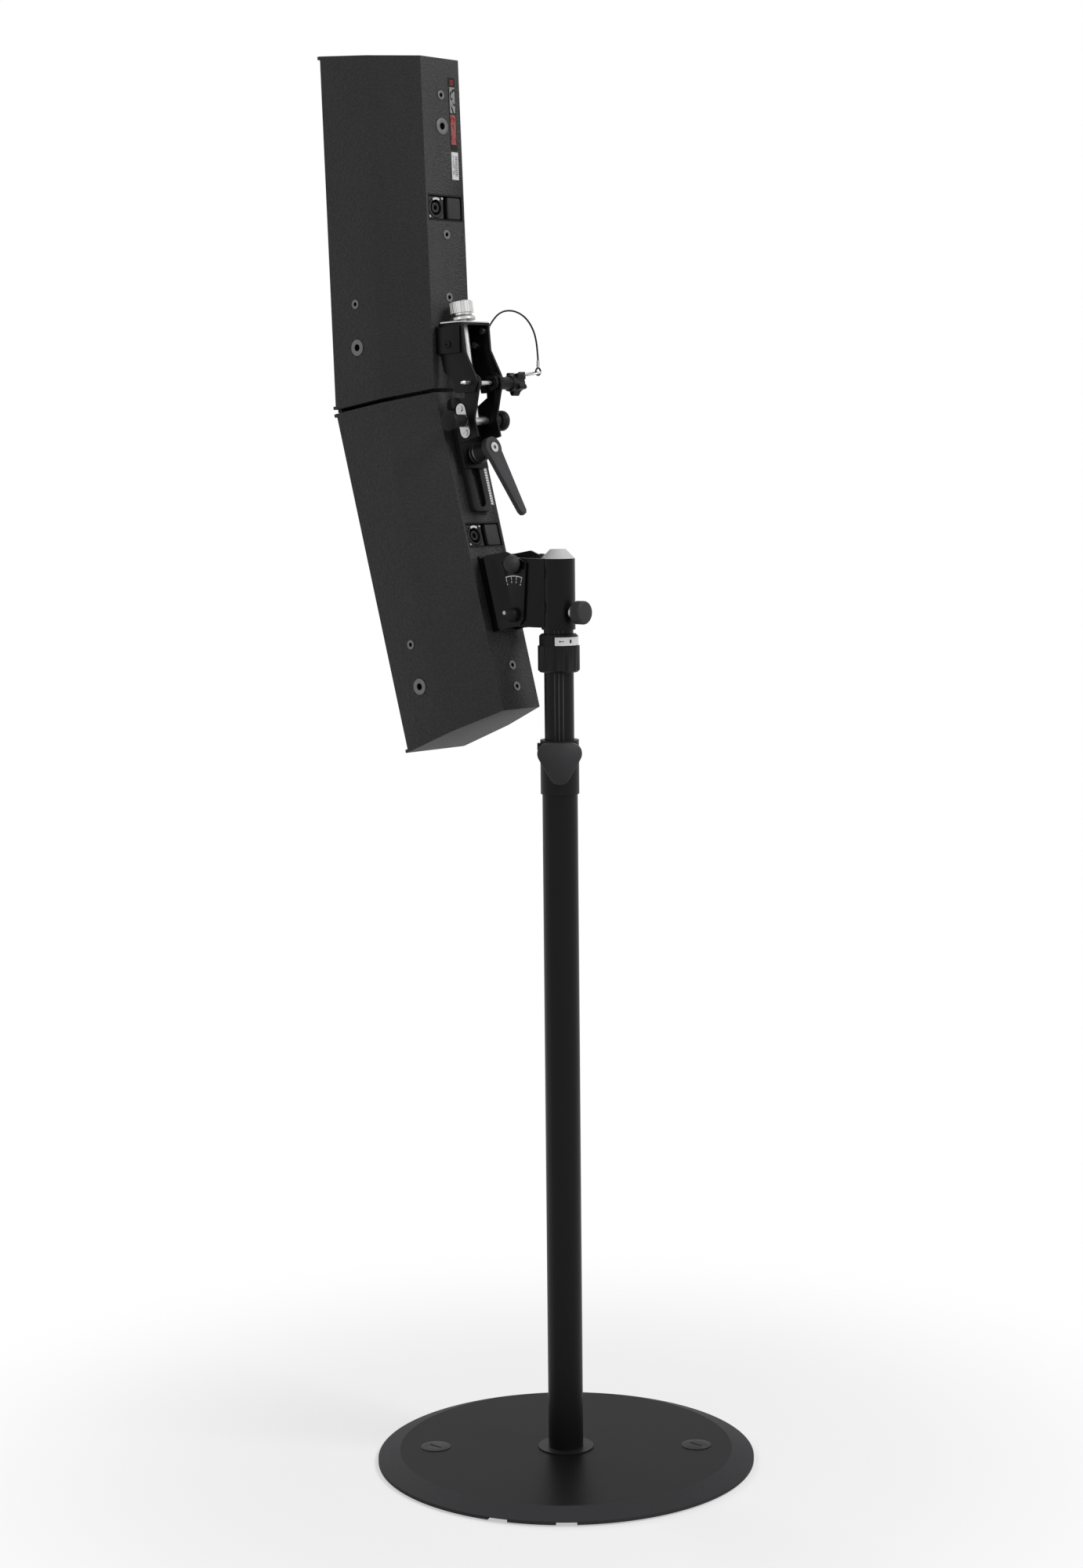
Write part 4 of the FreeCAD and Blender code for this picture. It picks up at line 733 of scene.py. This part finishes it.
class SPEAKER_OT_cord(bpy.types.Operator):
    """Lay the pin's safety cord from the hanger to the eye"""
    bl_idname = "speaker.cord"
    bl_label = "Safety cord"

    def execute(self, context):
        cord = context.scene.speaker_cord
        route = bpy.data.curves.new("safety_cord", "CURVE")
        route.dimensions = "3D"
        spline = route.splines.new("NURBS")
        spline.points.add(len(CORD_ROUTE) - 1)
        for point, where in zip(spline.points, CORD_ROUTE):
            point.co = (*where, 1.0)
        spline.order_u = 3
        spline.use_endpoint_u = True
        route.resolution_u = 16
        piece = bpy.data.objects.new("safety_cord", route)
        context.scene.collection.objects.link(piece)
        line = bpy.data.meshes.new_from_object(piece)
        bpy.data.meshes.remove(line)
        route.bevel_depth = cord.diameter / 2
        route.bevel_resolution = 4
        route.use_fill_caps = True
        alone(piece)
        bpy.ops.object.convert(target="MESH")
        piece = newest("safety_cord")
        piece.data.materials.clear()
        piece.data.materials.append(FINISHES["cord"])
        bpy.ops.object.shade_smooth()
        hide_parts("lanyard")
        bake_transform(piece)
        return {"FINISHED"}


class SPEAKER_OT_cabinets(bpy.types.Operator):
    """Round the cabinets' outer edges under their textured paint"""
    bl_idname = "speaker.cabinets"
    bl_label = "Cabinets"

    def execute(self, context):
        radius = context.scene.speaker_cabinet.edge_radius
        for which in CABINETS:
            back = cabinet_frame(which).inverted()
            half_width = (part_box(which + "_shell")[1].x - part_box(which + "_shell")[0].x) / 2

            def outside(middle, back=back, half_width=half_width):
                place = back @ middle
                side = abs(place.x) > half_width - 0.0005
                flank = abs(place.x) > 0.0322 and place.y > -0.073
                return side or flank or abs(place.z) > 0.19
            rounded(which + "_shell", radius, FINISHES["cabinet_paint"], 0.012, 12.0,
                    wanted=outside)
        return {"FINISHED"}


class SPEAKER_OT_grilles(bpy.types.Operator):
    """Perforate the bowed grille sheets"""
    bl_idname = "speaker.grilles"
    bl_label = "Grilles"

    def execute(self, context):
        sizes = context.scene.speaker_cabinet
        pitch, hole = sizes.hole_pitch, sizes.hole_radius
        for which in CABINETS:
            placed = cabinet_frame(which)
            back = placed.inverted()
            corners = [back @ vertex.co for vertex in NODES[which + "_grille"].data.vertices]
            half = max(corner.x for corner in corners)
            rise = max(corner.z for corner in corners)
            crown = min(corner.y for corner in corners)
            bulge = sizes.grille_bulge
            bend_radius = (half * half + bulge * bulge) / (2 * bulge)
            swing = 2 * math.asin(half / bend_radius)
            columns = int(bend_radius * swing / pitch)
            rows = int(2 * rise / pitch)
            bpy.ops.object.select_all(action="DESELECT")
            bpy.ops.mesh.primitive_circle_add(vertices=8, radius=hole, fill_type="NOTHING",
                                              rotation=(math.pi / 2, math.pi / 8, 0))
            piece = newest(which + "_grille_perforated")
            bpy.ops.object.transform_apply(location=False, rotation=True, scale=False)
            bpy.ops.object.mode_set(mode="EDIT")
            bpy.ops.mesh.select_all(action="SELECT")
            bpy.ops.mesh.extrude_edges_move()
            bpy.ops.transform.resize(value=(2, 1, 2))
            bpy.ops.object.mode_set(mode="OBJECT")
            for vertex in piece.data.vertices:
                if vertex.co.length > hole * 1.5:
                    vertex.co.x = math.copysign(pitch / 2, vertex.co.x)
                    vertex.co.z = math.copysign(pitch / 2, vertex.co.z)
            for axis, count in ((0, columns), (2, rows)):
                array = piece.modifiers.new("Array", "ARRAY")
                array.count = count
                array.use_relative_offset = False
                array.use_constant_offset = True
                offset = [0.0, 0.0, 0.0]
                offset[axis] = pitch
                array.constant_offset_displace = offset
                array.use_merge_vertices = True
                array.merge_threshold = pitch / 50
            solid = piece.modifiers.new("Solidify", "SOLIDIFY")
            solid.thickness = 0.0012
            solid.offset = 0.0
            apply_modifiers(piece)
            middle = Vector(((columns - 1) * pitch / 2, 0, (rows - 1) * pitch / 2))
            stretch = (bend_radius * swing / (columns * pitch), 2 * rise / (rows * pitch))
            for vertex in piece.data.vertices:
                flat = vertex.co - middle
                angle = flat.x * stretch[0] / bend_radius
                reach_out = bend_radius - flat.y
                vertex.co = Vector((reach_out * math.sin(angle),
                                    crown + bend_radius - reach_out * math.cos(angle) + 0.0007,
                                    flat.z * stretch[1]))
            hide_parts(which + "_grille")
            settle(piece, placed, which + "_cabinet",
                   FINISHES["grille_steel"], 20.0)
        return {"FINISHED"}


class SPEAKER_OT_castings(bpy.types.Operator):
    """Round the edges of the pressed, cast and moulded fittings"""
    bl_idname = "speaker.castings"
    bl_label = "Fittings"

    def execute(self, context):
        for name, radius, least in (
                ("upper_inserts", 0.0003, 0.0), ("lower_inserts", 0.0003, 0.0),
                ("yoke", 0.0008, 0.003), ("bracket_arms", 0.0006, 0.004),
                ("link_bracket", 0.0007, 0.003), ("upper_bracket", 0.0007, 0.003),
                ("upper_hanger", 0.0007, 0.003), ("slide_rail", 0.0006, 0.0),
                ("clamp_lever", 0.0011, 0.0), ("lock_collar", 0.0004, 0.004),
                ("thumb_knob", 0.0042, 0.0), ("plunger_near", 0.0008, 0.0),
                ("plunger_far", 0.0008, 0.0), ("socket_cap", 0.0005, 0.0),
                ("base_plugs", 0.0003, 0.0), ("clamp_sleeve", 0.0005, 0.0)):
            rounded(name, radius, FINISHES[SLOT_OF[name]], least)
        self.weld_beads()
        for name, voxel, passes in (("clamp_knob", 0.0009, 8), ("pin_knob", 0.0006, 7),
                                    ("tilt_knob_near", 0.0005, 3),
                                    ("tilt_knob_far", 0.0005, 3)):
            melted(name, voxel, passes, FINISHES[SLOT_OF[name]])
        return {"FINISHED"}


    def weld_beads(self):
        """Rippled weld beads where the bracket's arms meet its socket."""
        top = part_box("bracket_socket")[1].z
        for side, name in ((1, "near"), (-1, "far")):
            for place, start in (("high", 0.0110), ("low", 0.0515)):
                bpy.ops.object.select_all(action="DESELECT")
                bpy.ops.mesh.primitive_uv_sphere_add(segments=16, ring_count=10, radius=0.0017,
                                                     location=(side * 0.0199, -0.0046,
                                                               top - start))
                bead = newest("weld_%s_%s" % (name, place))
                array = bead.modifiers.new("Array", "ARRAY")
                array.count = 8
                array.use_relative_offset = False
                array.use_constant_offset = True
                array.constant_offset_displace = (0, 0, -0.0015)
                remesh = bead.modifiers.new("Remesh", "REMESH")
                remesh.mode = "VOXEL"
                remesh.voxel_size = 0.0003
                apply_modifiers(bead)
                settle(bead, Matrix.Identity(4), "bracket",
                       FINISHES["black_bracket"], 180.0)


def arc_band(inner, outer, start, end, steps=16):
    """The outline of an arc-shaped band about the origin, as points."""
    angles = [start + (end - start) * step / steps for step in range(steps + 1)]
    outline = [(outer * math.sin(angle), outer * math.cos(angle)) for angle in angles]
    outline += [(inner * math.sin(angle), inner * math.cos(angle)) for angle in angles[::-1]]
    return outline


def circle(radius, centre=(0.0, 0.0), steps=64):
    """The outline of a round hole or disc, as points."""
    return [(radius * math.cos(turn) + centre[0], radius * math.sin(turn) + centre[1])
            for turn in (2 * math.pi * step / steps for step in range(steps))]


def flat_print(name, outlines, thickness):
    """A thin raised print with those outlines, lying in the XY plane."""
    drawing = bpy.data.curves.new(name, "CURVE")
    drawing.dimensions = "2D"
    drawing.fill_mode = "BOTH"
    drawing.extrude = thickness / 2
    for outline in outlines:
        spline = drawing.splines.new("POLY")
        spline.points.add(len(outline) - 1)
        for point, (across, up) in zip(spline.points, outline):
            point.co = (across, up, 0.0, 1.0)
        spline.use_cyclic_u = True
    piece = bpy.data.objects.new(name, drawing)
    bpy.context.scene.collection.objects.link(piece)
    alone(piece)
    bpy.ops.object.convert(target="MESH")
    return newest(name)


class SPEAKER_OT_prints(bpy.types.Operator):
    """Print the tilt scales and pivot dots, the insert ticks and the twist collar's band"""
    bl_idname = "speaker.prints"
    bl_label = "Printed marks"

    def execute(self, context):
        placed = cabinet_frame("lower")
        tilt = cabinet_tilt("lower")
        pivot = placed.inverted() @ Vector(JOINTS["cabinet_tilt"]["pos_m"])
        half_span = math.radians(16)
        outlines = [arc_band(0.0450, 0.0461, tilt - half_span - 0.012, tilt + half_span + 0.012)]
        for share, reach in ((-1.0, 0.0395), (-0.33, 0.0410), (0.33, 0.0410), (1.0, 0.0395)):
            angle = tilt + half_span * share
            outlines.append(arc_band(reach, 0.04496, angle - 0.009, angle + 0.009, 2))
            outlines.append(arc_band(reach - 0.0035, reach - 0.0015, angle - 0.014,
                                     angle + 0.014, 2))
        outlines.append(circle(PIVOT_DOT_RADIUS, PIVOT_DOT_CENTRE, 20))
        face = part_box("yoke")[1].x
        for side, name in ((1, "near"), (-1, "far")):
            piece = flat_print("tilt_scale_" + name, outlines, 0.0002)
            stand_up = Matrix(((0, 0, side, side * (face + 0.00005)), (1, 0, 0, pivot.y),
                               (0, 1, 0, pivot.z), (0, 0, 0, 1)))
            settle(piece, placed @ stand_up, "lower_cabinet",
                   FINISHES["ink"])
        self.insert_marks()
        self.collar_band()
        return {"FINISHED"}

    def insert_marks(self):
        """Eight short pressed ticks round each large side insert."""
        ticks = [arc_band(0.0104, 0.0122, step * math.pi / 4 - 0.05, step * math.pi / 4 + 0.05, 2)
                 for step in range(8)]
        for which in CABINETS:
            for side, name in ((1, "near"), (-1, "far")):
                place = Vector(MOUNTS["%s_%s_m10" % (which, name)]["pos_m"])
                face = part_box(which + "_shell")[1].x
                piece = flat_print("%s_%s_insert_marks" % (which, name), ticks, 0.0002)
                stand_up = Matrix(((0, 0, side, side * (face + 0.00005)), (1, 0, 0, place.y),
                                   (0, 1, 0, place.z), (0, 0, 0, 1)))
                settle(piece, stand_up, which + "_cabinet",
                       FINISHES["black_plastic"])

    def collar_band(self):
        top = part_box("lock_collar")[1].z
        bpy.ops.object.select_all(action="DESELECT")
        bpy.ops.mesh.primitive_cylinder_add(vertices=120, radius=0.02306, depth=0.0098,
                                            end_fill_type="NOTHING",
                                            location=(0, 0, top - 0.0082))
        band = newest("collar_band")
        select_faces(band, lambda centre, normal: not 0.53 < math.atan2(centre.y, centre.x) < 2.3)
        bpy.ops.mesh.delete(type="FACE")
        bpy.ops.object.mode_set(mode="OBJECT")
        solid = band.modifiers.new("Solidify", "SOLIDIFY")
        solid.thickness = 0.0003
        solid.offset = 1.0
        apply_modifiers(band)
        settle(band, Matrix.Identity(4), "collar", FINISHES["collar_print"])


def pan_screw(name, placed, body, radius=0.0016):
    """A small screw with a recessed round head, its dome up along z."""
    bpy.ops.object.select_all(action="DESELECT")
    bpy.ops.mesh.primitive_cylinder_add(vertices=24, radius=radius, depth=0.0012)
    piece = newest(name)
    select_faces(piece, lambda centre, normal: normal.z > 0.9)
    bpy.ops.mesh.inset(thickness=radius * 0.3)
    bpy.ops.transform.translate(value=(0, 0, radius * 0.25))
    bpy.ops.mesh.inset(thickness=radius * 0.3)
    bpy.ops.transform.translate(value=(0, 0, -radius * 0.35))
    bpy.ops.object.mode_set(mode="OBJECT")
    return settle(piece, placed, body, FINISHES["steel"], 30.0)


class SPEAKER_OT_outlets(bpy.types.Operator):
    """Fit the screws, the latch, the socket's rings and the cover to each cable outlet"""
    bl_idname = "speaker.outlets"
    bl_label = "Outlets"

    def execute(self, context):
        for which in CABINETS:
            placed = cabinet_frame(which)
            back = placed.inverted()
            corners = [back @ vertex.co for vertex in NODES[which + "_outlet"].data.vertices]
            low = Vector([min(corner[side] for corner in corners) for side in range(3)])
            high = Vector([max(corner[side] for corner in corners) for side in range(3)])
            centre = (low + high) / 2
            body = which + "_cabinet"
            face_out = Matrix(((1, 0, 0, 0), (0, 0, 1, 0), (0, -1, 0, 0), (0, 0, 0, 1)))
            for across, up in ((-1, 1), (1, -1)):
                spot = Vector((centre.x + across * 0.0109, high.y + 0.0034,
                               centre.z + up * 0.0109))
                pan_screw("%s_outlet_screw_%d" % (which, across > 0),
                          placed @ Matrix.Translation(spot) @ face_out, body)
            self.socket(which, placed, face_out, centre, high, body)
        return {"FINISHED"}

    def socket(self, which, placed, face_out, centre, high, body):
        """The bright latch, the face plate, the rings inside it and the square cover beside it."""
        outline = arc_band(0.0093, 0.0119, math.pi - LATCH_SWING, math.pi + LATCH_SWING, 14)
        latch = flat_print(which + "_outlet_latch", [outline], 0.0011)
        bevel = latch.modifiers.new("Bevel", "BEVEL")
        bevel.width = 0.0004
        bevel.segments = 3
        apply_modifiers(latch)
        spot = Matrix.Translation((centre.x, high.y + 0.0037, centre.z))
        settle(latch, placed @ spot @ face_out, body, FINISHES["bright_steel"])
        slot = SLOT_OF[which + "_outlet"]
        corner = PLATE_HALF
        square = [(-corner, -corner), (corner, -corner), (corner, corner), (-corner, corner)]
        for name, outlines, depth, lift in (
                ("plate", [square, circle(0.0124)], 0.0016, 0.0024),
                ("barrel", [circle(0.0115), circle(0.0094)], 0.0036, 0.0018),
                ("core", [circle(0.0059), circle(0.0032)], 0.0080, -0.0015)):
            piece = flat_print("%s_outlet_%s" % (which, name), outlines, depth)
            bevel = piece.modifiers.new("Bevel", "BEVEL")
            bevel.width = 0.0004
            bevel.segments = 2
            bevel.limit_method = "ANGLE"
            apply_modifiers(piece)
            spot = Matrix.Translation((centre.x, high.y + lift, centre.z))
            settle(piece, placed @ spot @ face_out, body, FINISHES["outlet_plastic"])
        bpy.ops.object.select_all(action="DESELECT")
        bpy.ops.mesh.primitive_cube_add(size=1, location=(-0.0165, high.y + 0.001, centre.z))
        cover = newest(which + "_outlet_cover")
        cover.scale = (0.0225, 0.0060, 0.0262)
        bpy.ops.object.transform_apply(location=False, rotation=False, scale=True)
        bevel = cover.modifiers.new("Bevel", "BEVEL")
        bevel.width = 0.0018
        bevel.segments = 4
        apply_modifiers(cover)
        settle(cover, placed, body, FINISHES["outlet_plastic"])


class SPEAKER_OT_stage(bpy.types.Operator):
    """Set the floor, the lamps and the camera"""
    bl_idname = "speaker.stage"
    bl_label = "Studio"

    def execute(self, context):
        self.floor()
        self.lamps()
        self.camera(context.scene.speaker_stage)
        context.scene.view_settings.view_transform = "Standard"
        return {"FINISHED"}

    def floor(self):
        """Pale paper: it keeps the shadow under the base and fades to white further out."""
        bpy.ops.object.select_all(action="DESELECT")
        bpy.ops.mesh.primitive_plane_add(size=60, location=(0, 0, -0.0002))
        floor = newest("floor")
        finish = Finish("floor_paper", (0.86, 0.86, 0.86), 0.9, specular=0.1)
        x, y, z = finish.parts(finish.where())
        reach = (x * x + y * y).maths("SQRT", x * x + y * y)
        away = finish.node("ShaderNodeMapRange", {"interpolation_type": "SMOOTHSTEP"},
                           {"Value": reach, "From Min": 0.30, "From Max": 0.95,
                            "To Min": 0.5, "To Max": 1.0})
        rays = [finish.node("ShaderNodeLightPath", output=ray)
                for ray in ("Is Camera Ray", "Is Glossy Ray", "Is Transmission Ray")]
        seen = rays[0].maths("MAXIMUM", rays[0].maths("MAXIMUM", rays[0], rays[1]), rays[2])
        white = finish.node("ShaderNodeEmission", None, {"Color": (1, 1, 1, 1), "Strength": 1.0})
        mixed = finish.node("ShaderNodeMixShader", None, {0: away * seen, 2: white})
        finish.tree.links.new(finish.shader.outputs[0], mixed.socket.node.inputs[1])
        finish.plug(finish.tree.nodes["Material Output"].inputs["Surface"], mixed)
        floor.data.materials.append(finish.material)

    def lamps(self):
        world = bpy.data.worlds.new("studio")
        bpy.context.scene.world = world
        world.use_nodes = True
        tree = world.node_tree
        background = tree.nodes["Background"]
        path = tree.nodes.new("ShaderNodeLightPath")
        seen = path.outputs["Is Camera Ray"]
        for ray in ("Is Glossy Ray", "Is Transmission Ray"):
            either = tree.nodes.new("ShaderNodeMath")
            either.operation = "MAXIMUM"
            tree.links.new(seen, either.inputs[0])
            tree.links.new(path.outputs[ray], either.inputs[1])
            seen = either.outputs[0]
        level = tree.nodes.new("ShaderNodeMapRange")
        tree.links.new(seen, level.inputs["Value"])
        level.inputs["To Min"].default_value = 0.3
        level.inputs["To Max"].default_value = 1.0
        background.inputs["Color"].default_value = (1, 1, 1, 1)
        tree.links.new(level.outputs[0], background.inputs["Strength"])
        for name, place, target, size, power in (
                ("key", (-0.8, 3.0, 4.0), (0, -0.1, 1.0), 1.8, 135),
                ("side", (3.8, 0.2, 2.6), (0, -0.2, 1.1), 1.6, 12),
                ("front", (-0.8, -3.8, 2.6), (0, -0.2, 1.2), 1.8, 45)):
            data = bpy.data.lights.new(name, "AREA")
            data.shape = "DISK"
            data.size = size
            data.energy = power
            lamp = bpy.data.objects.new(name, data)
            lamp.location = place
            aim = Vector(target) - Vector(place)
            lamp.rotation_euler = aim.to_track_quat("-Z", "Y").to_euler()
            bpy.context.scene.collection.objects.link(lamp)

    def camera(self, stage):
        deep = Vector((-math.cos(stage.bearing), -math.sin(stage.bearing), 0))
        across = Vector((-math.sin(stage.bearing), math.cos(stage.bearing), 0))
        upright = Vector((0, 0, 1))
        ahead = deep * math.cos(stage.pan) + across * math.sin(stage.pan)
        right = across * math.cos(stage.pan) - deep * math.sin(stage.pan)
        forward = ahead * math.cos(stage.pitch) - upright * math.sin(stage.pitch)
        up = ahead * math.sin(stage.pitch) + upright * math.cos(stage.pitch)
        leaned_right = right * math.cos(stage.roll) + up * math.sin(stage.roll)
        leaned_up = up * math.cos(stage.roll) - right * math.sin(stage.roll)
        data = bpy.data.cameras.new("camera")
        data.lens = stage.lens
        camera = bpy.data.objects.new("camera", data)
        turned = Matrix((leaned_right, leaned_up, -forward)).transposed().to_4x4()
        place = -deep * stage.distance + upright * stage.height
        camera.matrix_world = Matrix.Translation(place) @ turned
        bpy.context.scene.collection.objects.link(camera)
        bpy.context.scene.camera = camera


# ---------------------------------------------------------------- panel and registration

OPERATORS = (SPEAKER_OT_stage, SPEAKER_OT_finishes, SPEAKER_OT_cord, SPEAKER_OT_cabinets,
             SPEAKER_OT_grilles, SPEAKER_OT_castings, SPEAKER_OT_prints, SPEAKER_OT_outlets)
SETTINGS = (("speaker_cabinet", SpeakerCabinetSettings), ("speaker_stand", SpeakerStandSettings),
            ("speaker_cord", SpeakerCordSettings), ("speaker_stage", SpeakerStageSettings))


class SPEAKER_PT_panel(bpy.types.Panel):
    """The loudspeaker's sizes, colours and steps"""
    bl_idname = "SPEAKER_PT_panel"
    bl_label = "Loudspeaker"
    bl_space_type = "VIEW_3D"
    bl_region_type = "UI"
    bl_category = "Loudspeaker"

    def draw(self, context):
        for name, group in SETTINGS:
            box = self.layout.box()
            for field in group.__annotations__:
                box.prop(getattr(context.scene, name), field)
        for operator in OPERATORS:
            self.layout.operator(operator.bl_idname)


def register():
    for name, group in SETTINGS:
        bpy.utils.register_class(group)
        setattr(bpy.types.Scene, name, bpy.props.PointerProperty(type=group))
    for operator in OPERATORS:
        bpy.utils.register_class(operator)
    bpy.utils.register_class(SPEAKER_PT_panel)


def unregister():
    bpy.utils.unregister_class(SPEAKER_PT_panel)
    for operator in reversed(OPERATORS):
        bpy.utils.unregister_class(operator)
    for name, group in reversed(SETTINGS):
        delattr(bpy.types.Scene, name)
        bpy.utils.unregister_class(group)


def main():
    register()
    for operator in OPERATORS:
        family, name = operator.bl_idname.split(".")
        getattr(getattr(bpy.ops, family), name)()


if __name__ == "__main__":
    main()
